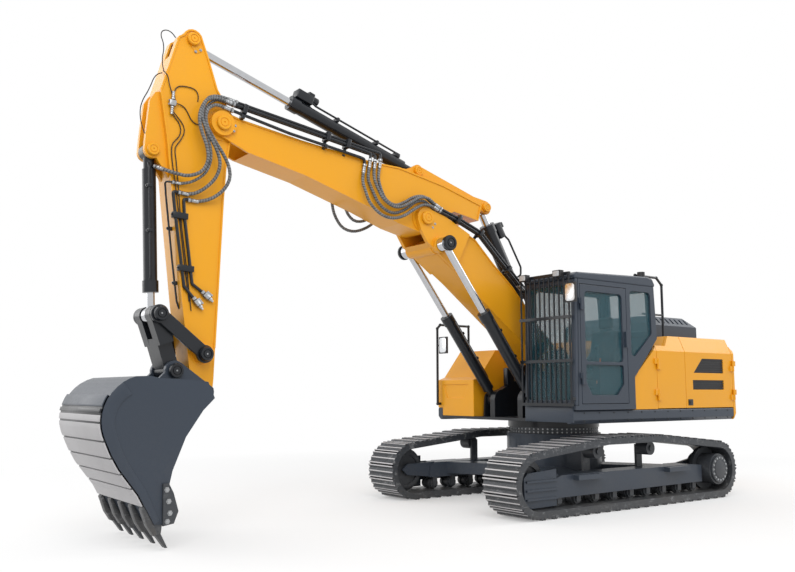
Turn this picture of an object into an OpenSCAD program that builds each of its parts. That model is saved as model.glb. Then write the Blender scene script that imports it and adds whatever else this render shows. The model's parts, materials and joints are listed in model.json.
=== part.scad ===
// Crawler excavator with a two-piece boom, parked with its bucket just above the ground.
// Millimetres. +X is forward, +Y is left and +Z is up. The origin is the swing axis at ground level.

/* [Tracks] */
// Distance between the middles of the two tracks
track_gauge = 2520; // [2480:10:2700]
// Width of a track shoe
shoe_w = 600; // [560:10:660]
// Distance from the sprocket's axle to the idler's axle
wheelbase = 3830; // [3700:10:4000]
// Radius of the track's outside round the idler and the sprocket
track_end_r = 420; // [400:5:440]
// Depth of the track from its grousers' tips to its inside
track_depth = 105; // [95:1:120]
// Height of a grouser over its shoe
grouser_h = 26; // [18:1:32]
// Number of shoes in one track
shoe_count = 51; // [46:1:56]
// Radius of a track roller
roller_r = 85; // [75:1:90]
// Number of track rollers under one frame
roller_count = 9; // [7:1:9]
// Radius of a carrier roller
carrier_r = 95; // [85:1:105]
// Height of the carrier rollers' axles
carrier_z = 770; // [750:5:790]
// Distance of the front carrier roller ahead of the swing axis
carrier_front_x = 600; // [500:10:700]
// Distance of the rear carrier roller behind the swing axis
carrier_rear_x = 530; // [450:10:650]

/* [Undercarriage] */
// Width of a track frame
frame_w = 280; // [260:5:300]
// Height of a track frame's underside
frame_low_z = 285; // [280:5:295]
// Height of a track frame's top
frame_top_z = 505; // [480:5:530]
// Radius of the carbody's turret
turret_r = 700; // [660:10:740]
// Height of the carbody's top
turret_z = 960; // [940:5:975]
// Width of the swing bearing's ring
bearing_w = 130; // [100:5:160]

/* [Upper structure] */
// Height of the upper structure's underside
upper_low_z = 1140; // [1120:5:1160]
// Height of the sills along both sides
sill_h = 180; // [160:5:200]
// Half the width of the upper structure
upper_half_w = 1395; // [1360:5:1420]
// Distance from the swing axis to the front of the deck
deck_front_x = 1110; // [1090:10:1180]
// Radius that the tail sweeps
tail_r = 3010; // [2960:10:3060]
// Depth of the counterweight from its front to the tail
weight_d = 400; // [380:10:440]
// Height of the body's top behind the cab
body_top_z = 2390; // [2340:10:2440]
// Height of the engine hood's top
hood_top_z = 2750; // [2700:10:2800]
// Thickness of a body panel
panel_t = 40; // [30:1:50]
// Gap round a door or lid
door_gap = 8; // [6:1:12]

/* [Cab] */
// Distance from the swing axis to the cab's front at its floor
cab_front_x = 1090; // [1070:5:1110]
// Distance from the swing axis back to the cab's rear wall
cab_rear_x = 640; // [600:10:680]
// Inner side of the cab, to the left of the swing axis
cab_right_y = 500; // [495:5:530]
// Outer side of the cab, to the left of the swing axis
cab_left_y = 1430; // [1400:5:1450]
// Height of the cab floor's underside
cab_low_z = 1325; // [1322:1:1340]
// Height of the cab's walls' top
cab_top_z = 3080; // [3000:10:3140]
// Thickness of the cab's walls
cab_wall = 60; // [50:1:70]
// Thickness of the cab's roof
roof_t = 90; // [70:5:110]
// Thickness of the window glass
glass_t = 8; // [5:1:10]
// Number of upright bars in the front guard
guard_bars = 11; // [8:1:12]

/* [Boom] */
// Boom foot pin, ahead of the swing axis
foot_x = 150; // [100:10:200]
// Boom foot pin, above the ground
foot_z = 2020; // [1980:10:2060]
// Length of the base boom from pin to pin
base_boom_l = 3130; // [3080:10:3180]
// Slope of the base boom at rest
base_boom_tilt = 36.7; // [35:0.1:38]
// Width of the base boom
base_boom_w = 460; // [450:5:470]
// Length of the front boom from pin to pin
front_boom_l = 3062; // [3010:2:3120]
// Slope of the front boom at rest
front_boom_tilt = 14.25; // [13:0.05:16]
// Width of the front boom
front_boom_w = 440; // [430:5:445]
// Thickness of the booms' and the stick's plates
plate_t = 20; // [14:1:26]

/* [Stick and bucket] */
// Length of the stick from pin to pin
stick_l = 3087; // [3047:5:3117]
// Direction of the stick at rest
stick_tilt = 272.94; // [272.2:0.02:273.6]
// Width of the stick
stick_w = 360; // [350:2:370]
// Width of the bucket
bucket_w = 1400; // [1200:10:1500]
// Thickness of the bucket's plates
bucket_t = 25; // [16:1:32]
// Number of teeth
tooth_count = 5; // [4:1:6]
// Radius of the large pins
pin_r = 55; // [45:1:60]
// Length of a side link from pin to pin
side_link_l = 676; // [660:2:690]

/* [Cylinders] */
// Distance of a boom cylinder from the machine's middle plane
boom_cyl_y = 400; // [395:1:405]
// Radius of a boom cylinder's barrel
boom_barrel_r = 82; // [70:1:85]
// Radius of a boom cylinder's rod
boom_rod_r = 50; // [40:1:55]
// Radius of the adjusting cylinder's barrel
adjust_barrel_r = 100; // [85:1:110]
// Radius of the adjusting cylinder's rod
adjust_rod_r = 60; // [50:1:65]
// Radius of the arm cylinder's barrel
arm_barrel_r = 85; // [75:1:95]
// Radius of the arm cylinder's rod
arm_rod_r = 52; // [45:1:58]
// Radius of the bucket cylinder's barrel
bucket_barrel_r = 75; // [65:1:85]
// Radius of the bucket cylinder's rod
bucket_rod_r = 45; // [38:1:52]

/* [Clearances] */
// Room round a pin in its bore
pin_gap = 0.3; // [0.2:0.1:0.6]
// Room beside a part that turns between ears
side_gap = 6; // [5:1:8]

/* [Hidden] */
$fn = 64;

// Colours of the paint and the metals
yellow = "#f5a81c";
slate = "#3f454d";
dark = "#2a2d31";
black = "#1b1c1f";
steel = "#8d9094";
chrome = "#d5d8dc";
glass = [0.45, 0.62, 0.62, 0.35];

// A point of a plane figure at an angle on a circle
function polar(c, r, a) = [c[0] + r * cos(a), c[1] + r * sin(a)];
// Points along an arc
function arc(c, r, a0, a1, n) = [for (i = [0:n]) polar(c, r, a0 + (a1 - a0) * i / n)];
// A vector of length one
function unit(v) = v / norm(v);
// A vector turned a quarter turn to the left
function left_of(v) = [-v[1], v[0]];
// A point of a member's own plane, in the machine's upright plane
function placed(o, tilt, p) = o + p[0] * [cos(tilt), sin(tilt)] + p[1] * [-sin(tilt), cos(tilt)];
// An outline that runs anticlockwise, moved inwards by d
function inset(pts, d) = [
    for (i = [0:len(pts) - 1])
        let (
            before = pts[(i + len(pts) - 1) % len(pts)],
            after = pts[(i + 1) % len(pts)],
            n0 = left_of(unit(pts[i] - before)),
            n1 = left_of(unit(after - pts[i]))
        )
        pts[i] + d * (n0 + n1) / (1 + n0 * n1)
];
// An outline that runs anticlockwise, with its corners rounded
function rounded(pts, r, n = 4) = [
    for (i = [0:len(pts) - 1])
        let (
            a = unit(pts[(i + len(pts) - 1) % len(pts)] - pts[i]),
            b = unit(pts[(i + 1) % len(pts)] - pts[i]),
            half = acos(a * b) / 2,
            c = pts[i] + unit(a + b) * r / sin(half),
            start = pts[i] + a * r / tan(half) - c
        )
        each arc(c, r, atan2(start[1], start[0]), atan2(start[1], start[0]) + 180 - 2 * half, n)
];
// The slope of the line from a to b
function slope(a, b) = atan2(b[1] - a[1], b[0] - a[0]);

// Pins, as points of the upright plane [x, z]
foot_pin = [foot_x, foot_z];
joint_pin = placed(foot_pin, base_boom_tilt, [base_boom_l, 0]);
nose_pin = placed(joint_pin, front_boom_tilt, [front_boom_l, 0]);
tip_pin = placed(nose_pin, stick_tilt, [stick_l, 0]);
// The pins that a member carries, in its own plane: along it, and across it
boom_rod_at = [base_boom_l - 378, -155];
adjust_base_at = [795, 330];
adjust_rod_at = [-1094, 614];
arm_base_at = [195, 648];
arm_rod_at = [-919, 415];
bucket_base_at = [458, 752];
link_at = [stick_l - 418, 16];
bucket_pin_at = [320, 232];
boom_base_pin = [830, 1450];
boom_rod_pin = placed(foot_pin, base_boom_tilt, boom_rod_at);
adjust_base_pin = placed(foot_pin, base_boom_tilt, adjust_base_at);
adjust_rod_pin = placed(joint_pin, front_boom_tilt, adjust_rod_at);
arm_base_pin = placed(joint_pin, front_boom_tilt, arm_base_at);
arm_rod_pin = placed(nose_pin, stick_tilt, arm_rod_at);
bucket_base_pin = placed(nose_pin, stick_tilt, bucket_base_at);
link_pin = placed(nose_pin, stick_tilt, link_at);
side_link_tilt = 38.4;
knee_pin = placed(link_pin, side_link_tilt, [side_link_l, 0]);
ear_pin = tip_pin + bucket_pin_at;

// Half widths across the pins, from the middle plane outwards
eye_half_w = 65;
lug_t = 55;
boom_ear_in = front_boom_w / 2 + side_gap;
boom_ear_out = boom_ear_in + 55;
nose_ear_in = stick_w / 2 + side_gap;
nose_ear_out = front_boom_w / 2 + 12;
lug_in = eye_half_w + side_gap;
tip_half_w = stick_w / 2 - 10;
bucket_ear_in = tip_half_w + side_gap;
bucket_ear_out = bucket_ear_in + 55;
side_link_in = bucket_ear_out + side_gap;
side_link_out = side_link_in + 45;
boom_eye_half_w = 57;
boom_eye_in = boom_cyl_y - boom_eye_half_w;
boom_eye_out = boom_cyl_y + boom_eye_half_w;

// A plate or box with its outline in the upright plane and its width across
module slab(outline, w) rotate([90, 0, 0]) linear_extrude(w, center = true) polygon(outline);
// The same, between two distances from the middle plane on the left side
module slab_between(outline, y0, y1) translate([0, (y0 + y1) / 2, 0]) slab(outline, y1 - y0);
// A long piece with its outline in the plane across the machine, from one X to another
module upright_run(outline, x0, x1) translate([x0, 0, 0]) rotate([90, 0, 90]) linear_extrude(x1 - x0) polygon(outline);
// A round bar across the machine
module cross_bar(p, r, w) translate([p[0], 0, p[1]]) rotate([90, 0, 0]) cylinder(r = r, h = w, center = true);
// The same, between two distances from the middle plane on the left side
module cross_bar_between(p, r, y0, y1) translate([0, (y0 + y1) / 2, 0]) cross_bar(p, r, y1 - y0);
// A piece and its mirror image on the machine's right
module both_sides() {
    children();
    mirror([0, 1, 0]) children();
}
// A member's own plane, laid on the machine's upright plane
module along(o, tilt) translate([o[0], 0, o[1]]) rotate([0, -tilt, 0]) children();
// A box from its lowest to its highest corner
module block(low, high) translate(low) cube(high - low);
// A round bar from one point to another
module bar(a, b, r) {
    d = b - a;
    translate(a) rotate([0, acos(d[2] / norm(d)), atan2(d[1], d[0])]) cylinder(r = r, h = norm(d));
}
// A bent rail: round bars with a slightly thicker elbow at each bend
elbow = 6;
module rail(pts, r) {
    for (i = [0:len(pts) - 2]) bar(pts[i], pts[i + 1], r);
    for (i = [1:len(pts) - 2]) translate(pts[i]) sphere(r = r + elbow);
}
// Half of a hinge on an upright axis: its knuckle, and its leaf towards the piece that holds it
knuckle_r = 18;
knuckle_h = 80;
knuckle_gap = 0.3;
hinge_out = 22;
module knuckle(at, z, leaf) {
    translate([at[0], at[1], z]) cylinder(r = knuckle_r, h = knuckle_h);
    translate([0, 0, z]) linear_extrude(knuckle_h)
        polygon([at, at + [leaf[0], 0], at + leaf, at + [0, leaf[1]]]);
}
module upper_knuckle(at, z, leaf) knuckle(at, z + knuckle_h + knuckle_gap, leaf);
// A welded box: side plates set in a little from the edges of the plates above and below
rib = 12;
module welded_box(outline, w) {
    difference() {
        slab(outline, w);
        both_sides() slab_between(inset(outline, plate_t), w / 2 - rib, w / 2 + rib);
        slab(inset(outline, plate_t), w - 2 * (rib + plate_t));
    }
}

// Tracks

track_y = track_gauge / 2;
sprocket_at = [-wheelbase / 2, track_end_r];
idler_at = [wheelbase / 2, track_end_r];
carrier_front_at = [carrier_front_x, carrier_z];
carrier_rear_at = [-carrier_rear_x, carrier_z];
wheel_r = track_end_r - track_depth;
wheel_gap = 0.5;
carrier_gap = 3;
// The rounds that a track runs over, in order, with the radius of the track's outside on each
track_rounds = [
    [sprocket_at, track_end_r],
    [idler_at, track_end_r],
    [carrier_front_at, carrier_r + carrier_gap + track_depth],
    [carrier_rear_at, carrier_r + carrier_gap + track_depth]
];
// The outward direction of the straight run from round i to the next
function run_side(i) =
    let (
        a = track_rounds[i],
        b = track_rounds[(i + 1) % 4],
        d = b[0] - a[0]
    )
    atan2(d[1], d[0]) - acos((a[1] - b[1]) / norm(d));
// The turn of the track round round i
function round_turn(i) = (run_side(i) - run_side((i + 3) % 4) + 720) % 360;
function run_l(i) =
    let (
        a = track_rounds[i],
        b = track_rounds[(i + 1) % 4]
    )
    norm(polar(b[0], b[1], run_side(i)) - polar(a[0], a[1], run_side(i)));
function round_l(i) = track_rounds[i][1] * round_turn(i) * PI / 180;
// Length of the loop before round i
function loop_before(i) = i == 0 ? 0 : loop_before(i - 1) + round_l(i - 1) + run_l(i - 1);
loop_l = loop_before(4);
// The point of the loop at a length along it, moved inwards by d
function loop_point(s, d, i = 0) =
    let (
        here = s - loop_before(i),
        c = track_rounds[i][0],
        r = track_rounds[i][1],
        start = run_side((i + 3) % 4)
    )
    i < 3 && here >= round_l(i) + run_l(i) ? loop_point(s, d, i + 1)
    : here < round_l(i) ? polar(c, r - d, start + here / r * 180 / PI)
    : polar(c, r - d, run_side(i)) + (here - round_l(i)) * [-sin(run_side(i)), cos(run_side(i))];
shoe_pitch = loop_l / shoe_count;
// A shoe's profile: three grousers and the gap to the next shoe, as [share of the pitch, depth]
shoe_profile = [
    [0.06, 0], [0.14, 0], [0.26, grouser_h], [0.46, grouser_h * 0.4], [0.54, grouser_h * 0.4],
    [0.74, grouser_h], [0.86, 0], [0.94, 0], [1.0, grouser_h * 1.4]
];
track_outline = [
    for (k = [0:shoe_count - 1])
        for (p = shoe_profile) loop_point((k + p[0]) * shoe_pitch, p[1])
];
track_inside = [for (k = [0:4 * shoe_count - 1]) loop_point(k * shoe_pitch / 4, track_depth)];
// The inside is a chain of flats, so a wheel that runs in it is smaller by the flats' bulge
run_r = wheel_r - shoe_pitch * shoe_pitch / 128 / wheel_r - wheel_gap;

module track() {
    translate([0, track_y, 0]) difference() {
        slab(track_outline, shoe_w);
        slab(track_inside, shoe_w + 2);
    }
}
module track_left() color(dark) track();
module track_right() color(dark) mirror([0, 1, 0]) track();

wheel_w = 150;
idler_rim_w = 90;
module idlers() {
    color(dark) both_sides() translate([0, track_y, 0]) difference() {
        union() {
            cross_bar(idler_at, run_r, idler_rim_w);
            cross_bar(idler_at, wheel_r - 40, wheel_w);
            cross_bar(idler_at, axle_r, fork_in * 2);
        }
        both_sides() cross_bar_between(idler_at, wheel_r - 90, wheel_w / 2 - 25, wheel_w / 2 + 1);
    }
}

drive_r = 225;
drive_out = 290;
module sprockets() {
    color(dark) both_sides() translate([0, track_y, 0]) {
        cross_bar(sprocket_at, run_r, 60);
        cross_bar_between(sprocket_at, drive_r, -frame_w / 2, drive_out - 30);
        cross_bar_between(sprocket_at, drive_r - 30, drive_out - 30, drive_out);
    }
}

axle_r = 40;
roller_w = 220;
roller_z = track_depth + roller_r + wheel_gap;
roller_front_x = 1400;
roller_rear_x = -1480;
function roller_x(k) = roller_front_x + (roller_rear_x - roller_front_x) * k / (roller_count - 1);
hanger_w = 25;
module track_rollers() {
    color(dark) both_sides() for (k = [0:roller_count - 1]) translate([roller_x(k), track_y, 0]) {
        cross_bar([0, roller_z], roller_r - 15, roller_w);
        both_sides() cross_bar_between([0, roller_z], roller_r, 40, 75);
        both_sides() block(
            [-axle_r, roller_w / 2, roller_z - axle_r],
            [axle_r, roller_w / 2 + hanger_w, frame_low_z]
        );
    }
}

carrier_w = 200;
module carrier_rollers() {
    color(dark) both_sides() for (at = [carrier_front_at, carrier_rear_at]) translate([0, track_y, 0]) {
        cross_bar(at, carrier_r, carrier_w);
        cross_bar_between(at, axle_r, -carrier_w / 2 - 40, carrier_w / 2 + 20);
        block(
            [at[0] - 60, -carrier_w / 2 - 40, frame_top_z],
            [at[0] + 60, -carrier_w / 2, at[1] + 50]
        );
    }
}

fork_in = wheel_w / 2 + 5;
fork_t = 40;
frame_front_x = 1500;
frame_rear_x = -1585;
skirt_t = 20;
skirt_low_z = 225;
cheek_rib = 24;
cheek_rib_zs = [skirt_low_z + 10, skirt_low_z + 120, skirt_low_z + 230];
step_l = 490;
step_d = 120;
step_xs = [920, -985];
module track_frame() {
    mid_z = (frame_low_z + frame_top_z) / 2;
    box = [
        [frame_rear_x, frame_low_z], [frame_front_x, frame_low_z],
        [frame_front_x, frame_top_z - 40], [frame_front_x - 120, frame_top_z],
        [frame_rear_x + 150, frame_top_z], [frame_rear_x, frame_top_z - 40]
    ];
    arm = [
        [frame_front_x - 100, mid_z - 110], [idler_at[0], idler_at[1] - 80],
        [idler_at[0] + 90, idler_at[1]], [idler_at[0], idler_at[1] + 80],
        [frame_front_x - 100, mid_z + 120]
    ];
    mount = [
        [frame_rear_x + 100, frame_low_z + 20], [frame_rear_x + 100, frame_top_z],
        [sprocket_at[0], sprocket_at[1] + 150], [sprocket_at[0] - 150, sprocket_at[1]],
        [sprocket_at[0], sprocket_at[1] - 150]
    ];
    cheek = [
        [frame_front_x - 20, skirt_low_z - 90], [idler_at[0] + 15, skirt_low_z - 97], [idler_at[0] + 130, skirt_low_z - 45],
        [idler_at[0] + 145, idler_at[1] + 80], [idler_at[0] + 75, idler_at[1] + 140], [frame_front_x - 20, frame_top_z + 90]
    ];
    skirt = [
        [frame_rear_x - 60, skirt_low_z + 20], [frame_front_x, skirt_low_z], [frame_front_x, frame_top_z - 40],
        [frame_front_x - 120, frame_top_z], [frame_rear_x + 150, frame_top_z], [frame_rear_x - 60, frame_top_z - 20]
    ];
    translate([0, track_y, 0]) {
        slab(box, frame_w);
        slab_between(skirt, frame_w / 2, frame_w / 2 + skirt_t);
        slab_between(cheek, fork_in + fork_t, frame_w / 2 + skirt_t);
        for (z = cheek_rib_zs) block(
            [frame_front_x - 20, frame_w / 2 + skirt_t, z - cheek_rib / 2],
            [idler_at[0] + 110, frame_w / 2 + skirt_t + cheek_rib, z + cheek_rib / 2]
        );
        for (x = step_xs) difference() {
            block(
                [x - step_l / 2, frame_w / 2, frame_top_z - 70],
                [x + step_l / 2, frame_w / 2 + step_d, frame_top_z - 5]
            );
            block(
                [x - step_l / 2 + 25, frame_w / 2 + skirt_t, frame_top_z - 71],
                [x + step_l / 2 - 25, frame_w / 2 + step_d - 25, frame_top_z - 25]
            );
        }
        both_sides() slab_between(arm, fork_in, fork_in + fork_t);
        slab_between(mount, -frame_w / 2 - 45, -frame_w / 2);
        block(
            [frame_rear_x, -frame_w / 2 - 45, frame_low_z],
            [frame_rear_x + 400, -frame_w / 2, frame_top_z]
        );
    }
}
module track_frame_left() color(dark) track_frame();
module track_frame_right() color(dark) mirror([0, 1, 0]) track_frame();

// Carbody and swing bearing

leg_low_z = 330;
leg_top_z = 500;
frame_inner_y = track_y - frame_w / 2;
tow_x = 800;
tow_z = 385;
tow_t = 60;
tow_bore_r = 40;
module carbody() {
    leg = [[0, 0], [650, 0], [1170, frame_inner_y], [780, frame_inner_y]];
    tow_plate = concat([[turret_r - 60, 170], [turret_r - 60, -170]], arc([tow_x, 0], 100, -75, 75, 8));
    color(dark) difference() {
        union() {
            translate([0, 0, leg_low_z]) cylinder(r = turret_r, h = turret_z - leg_low_z);
            for (s = [0, 1]) mirror([s, 0, 0])
                both_sides() translate([0, 0, leg_low_z]) linear_extrude(leg_top_z - leg_low_z) polygon(leg);
            translate([0, 0, tow_z]) linear_extrude(tow_t) polygon(tow_plate);
        }
        translate([0, 0, leg_low_z - 1]) cylinder(r = turret_r - 260, h = turret_z);
        translate([tow_x, 0, tow_z - 1]) cylinder(r = tow_bore_r, h = tow_t + 2);
    }
}
ring_gap = 0.6;
ring_h = (upper_low_z - turret_z - ring_gap) / 2;
module ring(r, w, h) difference() {
    cylinder(r = r, h = h);
    translate([0, 0, -1]) cylinder(r = r - w, h = h + 2);
}
module swing_bearing() color(steel) translate([0, 0, turret_z]) ring(turret_r - 40, bearing_w, ring_h);

// Upper structure

weight_front_x = tail_r - weight_d;
sill_top_z = upper_low_z + sill_h;
deck_t = 40;
deck_z = upper_low_z + 20;
sill_w = 110;
sill_bevel = 50;
sill_edge = 15;
frame_plate_in = base_boom_w / 2 + side_gap;
frame_plate_out = boom_eye_in - side_gap;
lug_out = boom_eye_out + side_gap + 30;
plate_rear_x = 680;
module main_frame() {
    plate = concat(
        [[-plate_rear_x, deck_z], [boom_base_pin[0] + 150, deck_z], boom_base_pin + [150, 0]],
        arc(boom_base_pin, 150, 10, 90, 4),
        [[foot_pin[0] + 330, foot_pin[1] - 260]],
        arc(foot_pin, 180, 0, 150, 8),
        [[foot_pin[0] - 330, foot_pin[1] - 260], [-plate_rear_x, deck_z + 250]]
    );
    outer_lug = concat(
        [[boom_base_pin[0] - 300, deck_z], [boom_base_pin[0] + 150, deck_z]],
        arc(boom_base_pin, 130, 0, 150, 8)
    );
    color(dark) {
        block(
            [-weight_front_x, -upper_half_w + sill_w, deck_z],
            [deck_front_x, upper_half_w - sill_w, deck_z + deck_t]
        );
        translate([0, 0, upper_low_z - ring_h]) ring(turret_r - 20, bearing_w, ring_h + deck_t);
        both_sides() {
            slab_between(plate, frame_plate_in, frame_plate_out);
            slab_between(outer_lug, boom_eye_out + side_gap, lug_out);
            cross_bar_between(boom_base_pin, pin_r, frame_plate_out - 1, lug_out);
        }
        cross_bar(foot_pin, pin_r, 2 * frame_plate_out);
    }
}
module side_sills() {
    profile = [
        [upper_half_w - sill_w, upper_low_z], [upper_half_w - sill_bevel, upper_low_z],
        [upper_half_w, upper_low_z + sill_bevel], [upper_half_w, sill_top_z - sill_edge],
        [upper_half_w - sill_edge, sill_top_z], [upper_half_w - sill_w, sill_top_z]
    ];
    color(slate) both_sides() upright_run(profile, -weight_front_x, deck_front_x);
}
bevel = 190;
module counterweight() {
    profile = [
        [0, upper_low_z], [tail_r - 60, upper_low_z], [tail_r, upper_low_z + 90],
        [tail_r, body_top_z - bevel], [tail_r - bevel, body_top_z], [0, body_top_z]
    ];
    color(yellow) {
        intersection() {
            rotate_extrude($fn = 128) polygon(profile);
            upright_run(shoulder_outline(upper_half_w, upper_low_z - 1), -tail_r - 1, -weight_front_x);
        }
        both_sides() for (z = door_hinge_zs) upper_knuckle(rear_door_hinge, z, [-leaf_l, -hinge_out]);
    }
}
engine_size = [1000, 900, 950];
engine_x = 760 - weight_front_x;
module engine() color(steel) block(
    [engine_x - engine_size[0] / 2, -engine_size[1] / 2, deck_z + deck_t],
    [engine_x + engine_size[0] / 2, engine_size[1] / 2, deck_z + deck_t + engine_size[2]]
);

// The body behind the cab: its side outline from the cab to the counterweight

side_low_z = sill_top_z;
step_z = 2237;
step_x = 956;
rise_x = 1110;
seam_1_x = 700;
seam_2_x = 1380;
hood_front_x = 1250;
hood_rear_x = weight_front_x - 160;
hood_half_w = 890;
side_in = upper_half_w - panel_t;
bulkhead_x = seam_1_x + 30;
shoulder_h = 230;
shoulder_in = 100;
// The body's section across the machine, out to a half width, with a sloped shoulder on both sides
function shoulder_outline(half_w, low_z) = [
    [-half_w, low_z], [half_w, low_z], [half_w, body_top_z - shoulder_h], [half_w - shoulder_in, body_top_z],
    [shoulder_in - half_w, body_top_z], [-half_w, body_top_z - shoulder_h]
];
// A side panel that follows the shoulder
module side_panel(outline) {
    section = [
        [side_in, side_low_z], [upper_half_w, side_low_z], [upper_half_w, body_top_z - shoulder_h],
        [upper_half_w - shoulder_in, body_top_z], [side_in - shoulder_in, body_top_z], [side_in, body_top_z - shoulder_h]
    ];
    intersection() {
        slab_between(outline, side_in - shoulder_in - 1, upper_half_w + 1);
        upright_run(section, -weight_front_x, 0);
    }
}
module body_panels() {
    fixed_panel = [
        [-seam_1_x + door_gap / 2, side_low_z], [-cab_heel_x - door_gap, side_low_z],
        [-cab_heel_x - door_gap, cab_heel_z - 10],
        [-seam_1_x + door_gap / 2, step_z - 25]
    ];
    deck = [
        [-seam_1_x, step_z - panel_t], [-seam_1_x, step_z], [-step_x, step_z], [-rise_x, body_top_z],
        [-weight_front_x, body_top_z], [-weight_front_x, body_top_z - panel_t],
        [-rise_x - 20, body_top_z - panel_t], [-step_x - 20, step_z - panel_t]
    ];
    color(yellow) {
        side_panel(fixed_panel);
        for (z = door_hinge_zs) upper_knuckle(front_door_hinge, z, [leaf_l, -hinge_out]);
        both_sides() {
            cross_bar_between(hood_hinge, knuckle_r, hood_hinge_y + knuckle_gap, hood_hinge_y + knuckle_h);
            block(
                [hood_hinge[0] - knuckle_r, hood_hinge_y + knuckle_gap, body_top_z],
                [hood_hinge[0] + knuckle_r, hood_hinge_y + knuckle_h, hood_hinge[1]]
            );
        }
        difference() {
            intersection() {
                slab(deck, 2 * side_in);
                upright_run(shoulder_outline(side_in - door_gap, side_low_z), -weight_front_x, 0);
            }
            block(
                [-hood_rear_x + 40, -hood_half_w + 40, body_top_z - panel_t - 1],
                [-hood_front_x - 40, hood_half_w - 40, body_top_z + 1]
            );
        }
        block(
            [-bulkhead_x, -upper_half_w + sill_w, deck_z + deck_t],
            [-seam_1_x, upper_half_w - sill_w, step_z - panel_t]
        );
    }
}
left_front_outline = [
    [-seam_2_x + door_gap / 2, side_low_z + door_gap], [-seam_1_x - door_gap / 2, side_low_z + door_gap],
    [-seam_1_x - door_gap / 2, step_z], [-step_x, step_z], [-rise_x, body_top_z],
    [-seam_2_x + door_gap / 2, body_top_z]
];
rear_door_outline = [
    [-weight_front_x + door_gap, side_low_z + door_gap], [-seam_2_x - door_gap / 2, side_low_z + door_gap],
    [-seam_2_x - door_gap / 2, body_top_z], [-weight_front_x + door_gap, body_top_z]
];
front_door_hinge = [-seam_1_x, upper_half_w + hinge_out];
rear_door_hinge = [-weight_front_x + door_gap / 2, upper_half_w + hinge_out];
door_hinge_zs = [side_low_z + 120, step_z - 350];
leaf_l = 70;
module left_front_door() {
    color(yellow) {
        side_panel(left_front_outline);
        for (z = door_hinge_zs) knuckle(front_door_hinge, z, [-leaf_l, -hinge_out]);
    }
}
// Two louvred openings in a rear door, from the door's front edge
grille_front_x = -seam_2_x - 180;
grille_rear_x = -weight_front_x + 245;
high_grille = [
    [grille_rear_x, 1850], [grille_front_x - 30, 1850], [grille_front_x - 255, 2068], [grille_rear_x, 2068]
];
low_grille = [[grille_rear_x, 1598], [grille_front_x, 1598], [grille_front_x, 1742], [grille_rear_x, 1742]];
grille_in = 25;
slat_pitch = 36;
slat_t = 12;
module rear_door() {
    difference() {
        side_panel(rear_door_outline);
        for (outline = [high_grille, low_grille])
            slab_between(outline, upper_half_w - grille_in, upper_half_w + 1);
    }
    for (z = door_hinge_zs) knuckle(rear_door_hinge, z, [leaf_l, -hinge_out]);
}
module door_grille() {
    for (outline = [high_grille, low_grille]) {
        slab_between(inset(outline, 1), upper_half_w - grille_in, upper_half_w - grille_in + 6);
        intersection() {
            slab_between(inset(outline, 1), upper_half_w - grille_in, upper_half_w - 3);
            for (z = [outline[0][1] + slat_pitch / 2:slat_pitch:outline[2][1]]) slab_between(
                [
                    [grille_rear_x, z], [grille_front_x, z], [grille_front_x, z + slat_t], [grille_rear_x, z + slat_t]
                ],
                upper_half_w - grille_in, upper_half_w - 3
            );
        }
    }
}
module left_rear_door() color(yellow) rear_door();
module left_grilles() color(black) door_grille();
module pump_door() color(yellow) mirror([0, 1, 0]) rear_door();
module pump_grilles() color(black) mirror([0, 1, 0]) door_grille();
hood_t = 30;
hood_shoulder = 150;
slot_count = 8;
slot_w = 45;
hood_hinge = [-hood_rear_x - hinge_out, body_top_z + hinge_out];
hood_hinge_y = 600;
module engine_hood() {
    outer = [
        [-hood_rear_x, body_top_z + 2], [-hood_front_x, body_top_z + 2], [-hood_front_x, hood_top_z - 120],
        [-hood_front_x - 120, hood_top_z], [-hood_rear_x + 160, hood_top_z], [-hood_rear_x, hood_top_z - 160]
    ];
    inner = concat([[-hood_rear_x + hood_t, body_top_z]], [[-hood_front_x - hood_t, body_top_z]],
        [for (i = [2:5]) inset(outer, hood_t)[i]]);
    section = [
        [-hood_half_w, body_top_z], [hood_half_w, body_top_z], [hood_half_w, hood_top_z - hood_shoulder],
        [hood_half_w - hood_shoulder, hood_top_z], [hood_shoulder - hood_half_w, hood_top_z],
        [-hood_half_w, hood_top_z - hood_shoulder]
    ];
    slot_pitch = (hood_rear_x - hood_front_x - 360) / (slot_count - 1);
    color(slate) {
        difference() {
            intersection() {
                slab(outer, 2 * hood_half_w);
                upright_run(section, -hood_rear_x, -hood_front_x);
            }
            intersection() {
                slab(inner, 2 * hood_half_w);
                upright_run(inset(section, hood_t), -hood_rear_x, -hood_front_x);
            }
            both_sides() for (k = [0:slot_count - 1]) translate([-hood_front_x - 180 - k * slot_pitch, 0, 0]) {
                block(
                    [-slot_w / 2, hood_half_w - hood_shoulder + 25, hood_top_z - hood_shoulder - 100],
                    [slot_w / 2, hood_half_w - 40, hood_top_z]
                );
                block(
                    [-slot_w / 2, hood_half_w - hood_shoulder - 150, hood_top_z - 2 * hood_t],
                    [slot_w / 2, hood_half_w - hood_shoulder - 40, hood_top_z + 1]
                );
            }
        }
        both_sides() {
            cross_bar_between(hood_hinge, knuckle_r, hood_hinge_y - knuckle_h, hood_hinge_y);
            block(
                [hood_hinge[0], hood_hinge_y - knuckle_h, hood_hinge[1] - knuckle_r],
                [-hood_rear_x, hood_hinge_y, hood_hinge[1] + knuckle_r]
            );
        }
    }
}

// Tanks and tool box on the right

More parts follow.
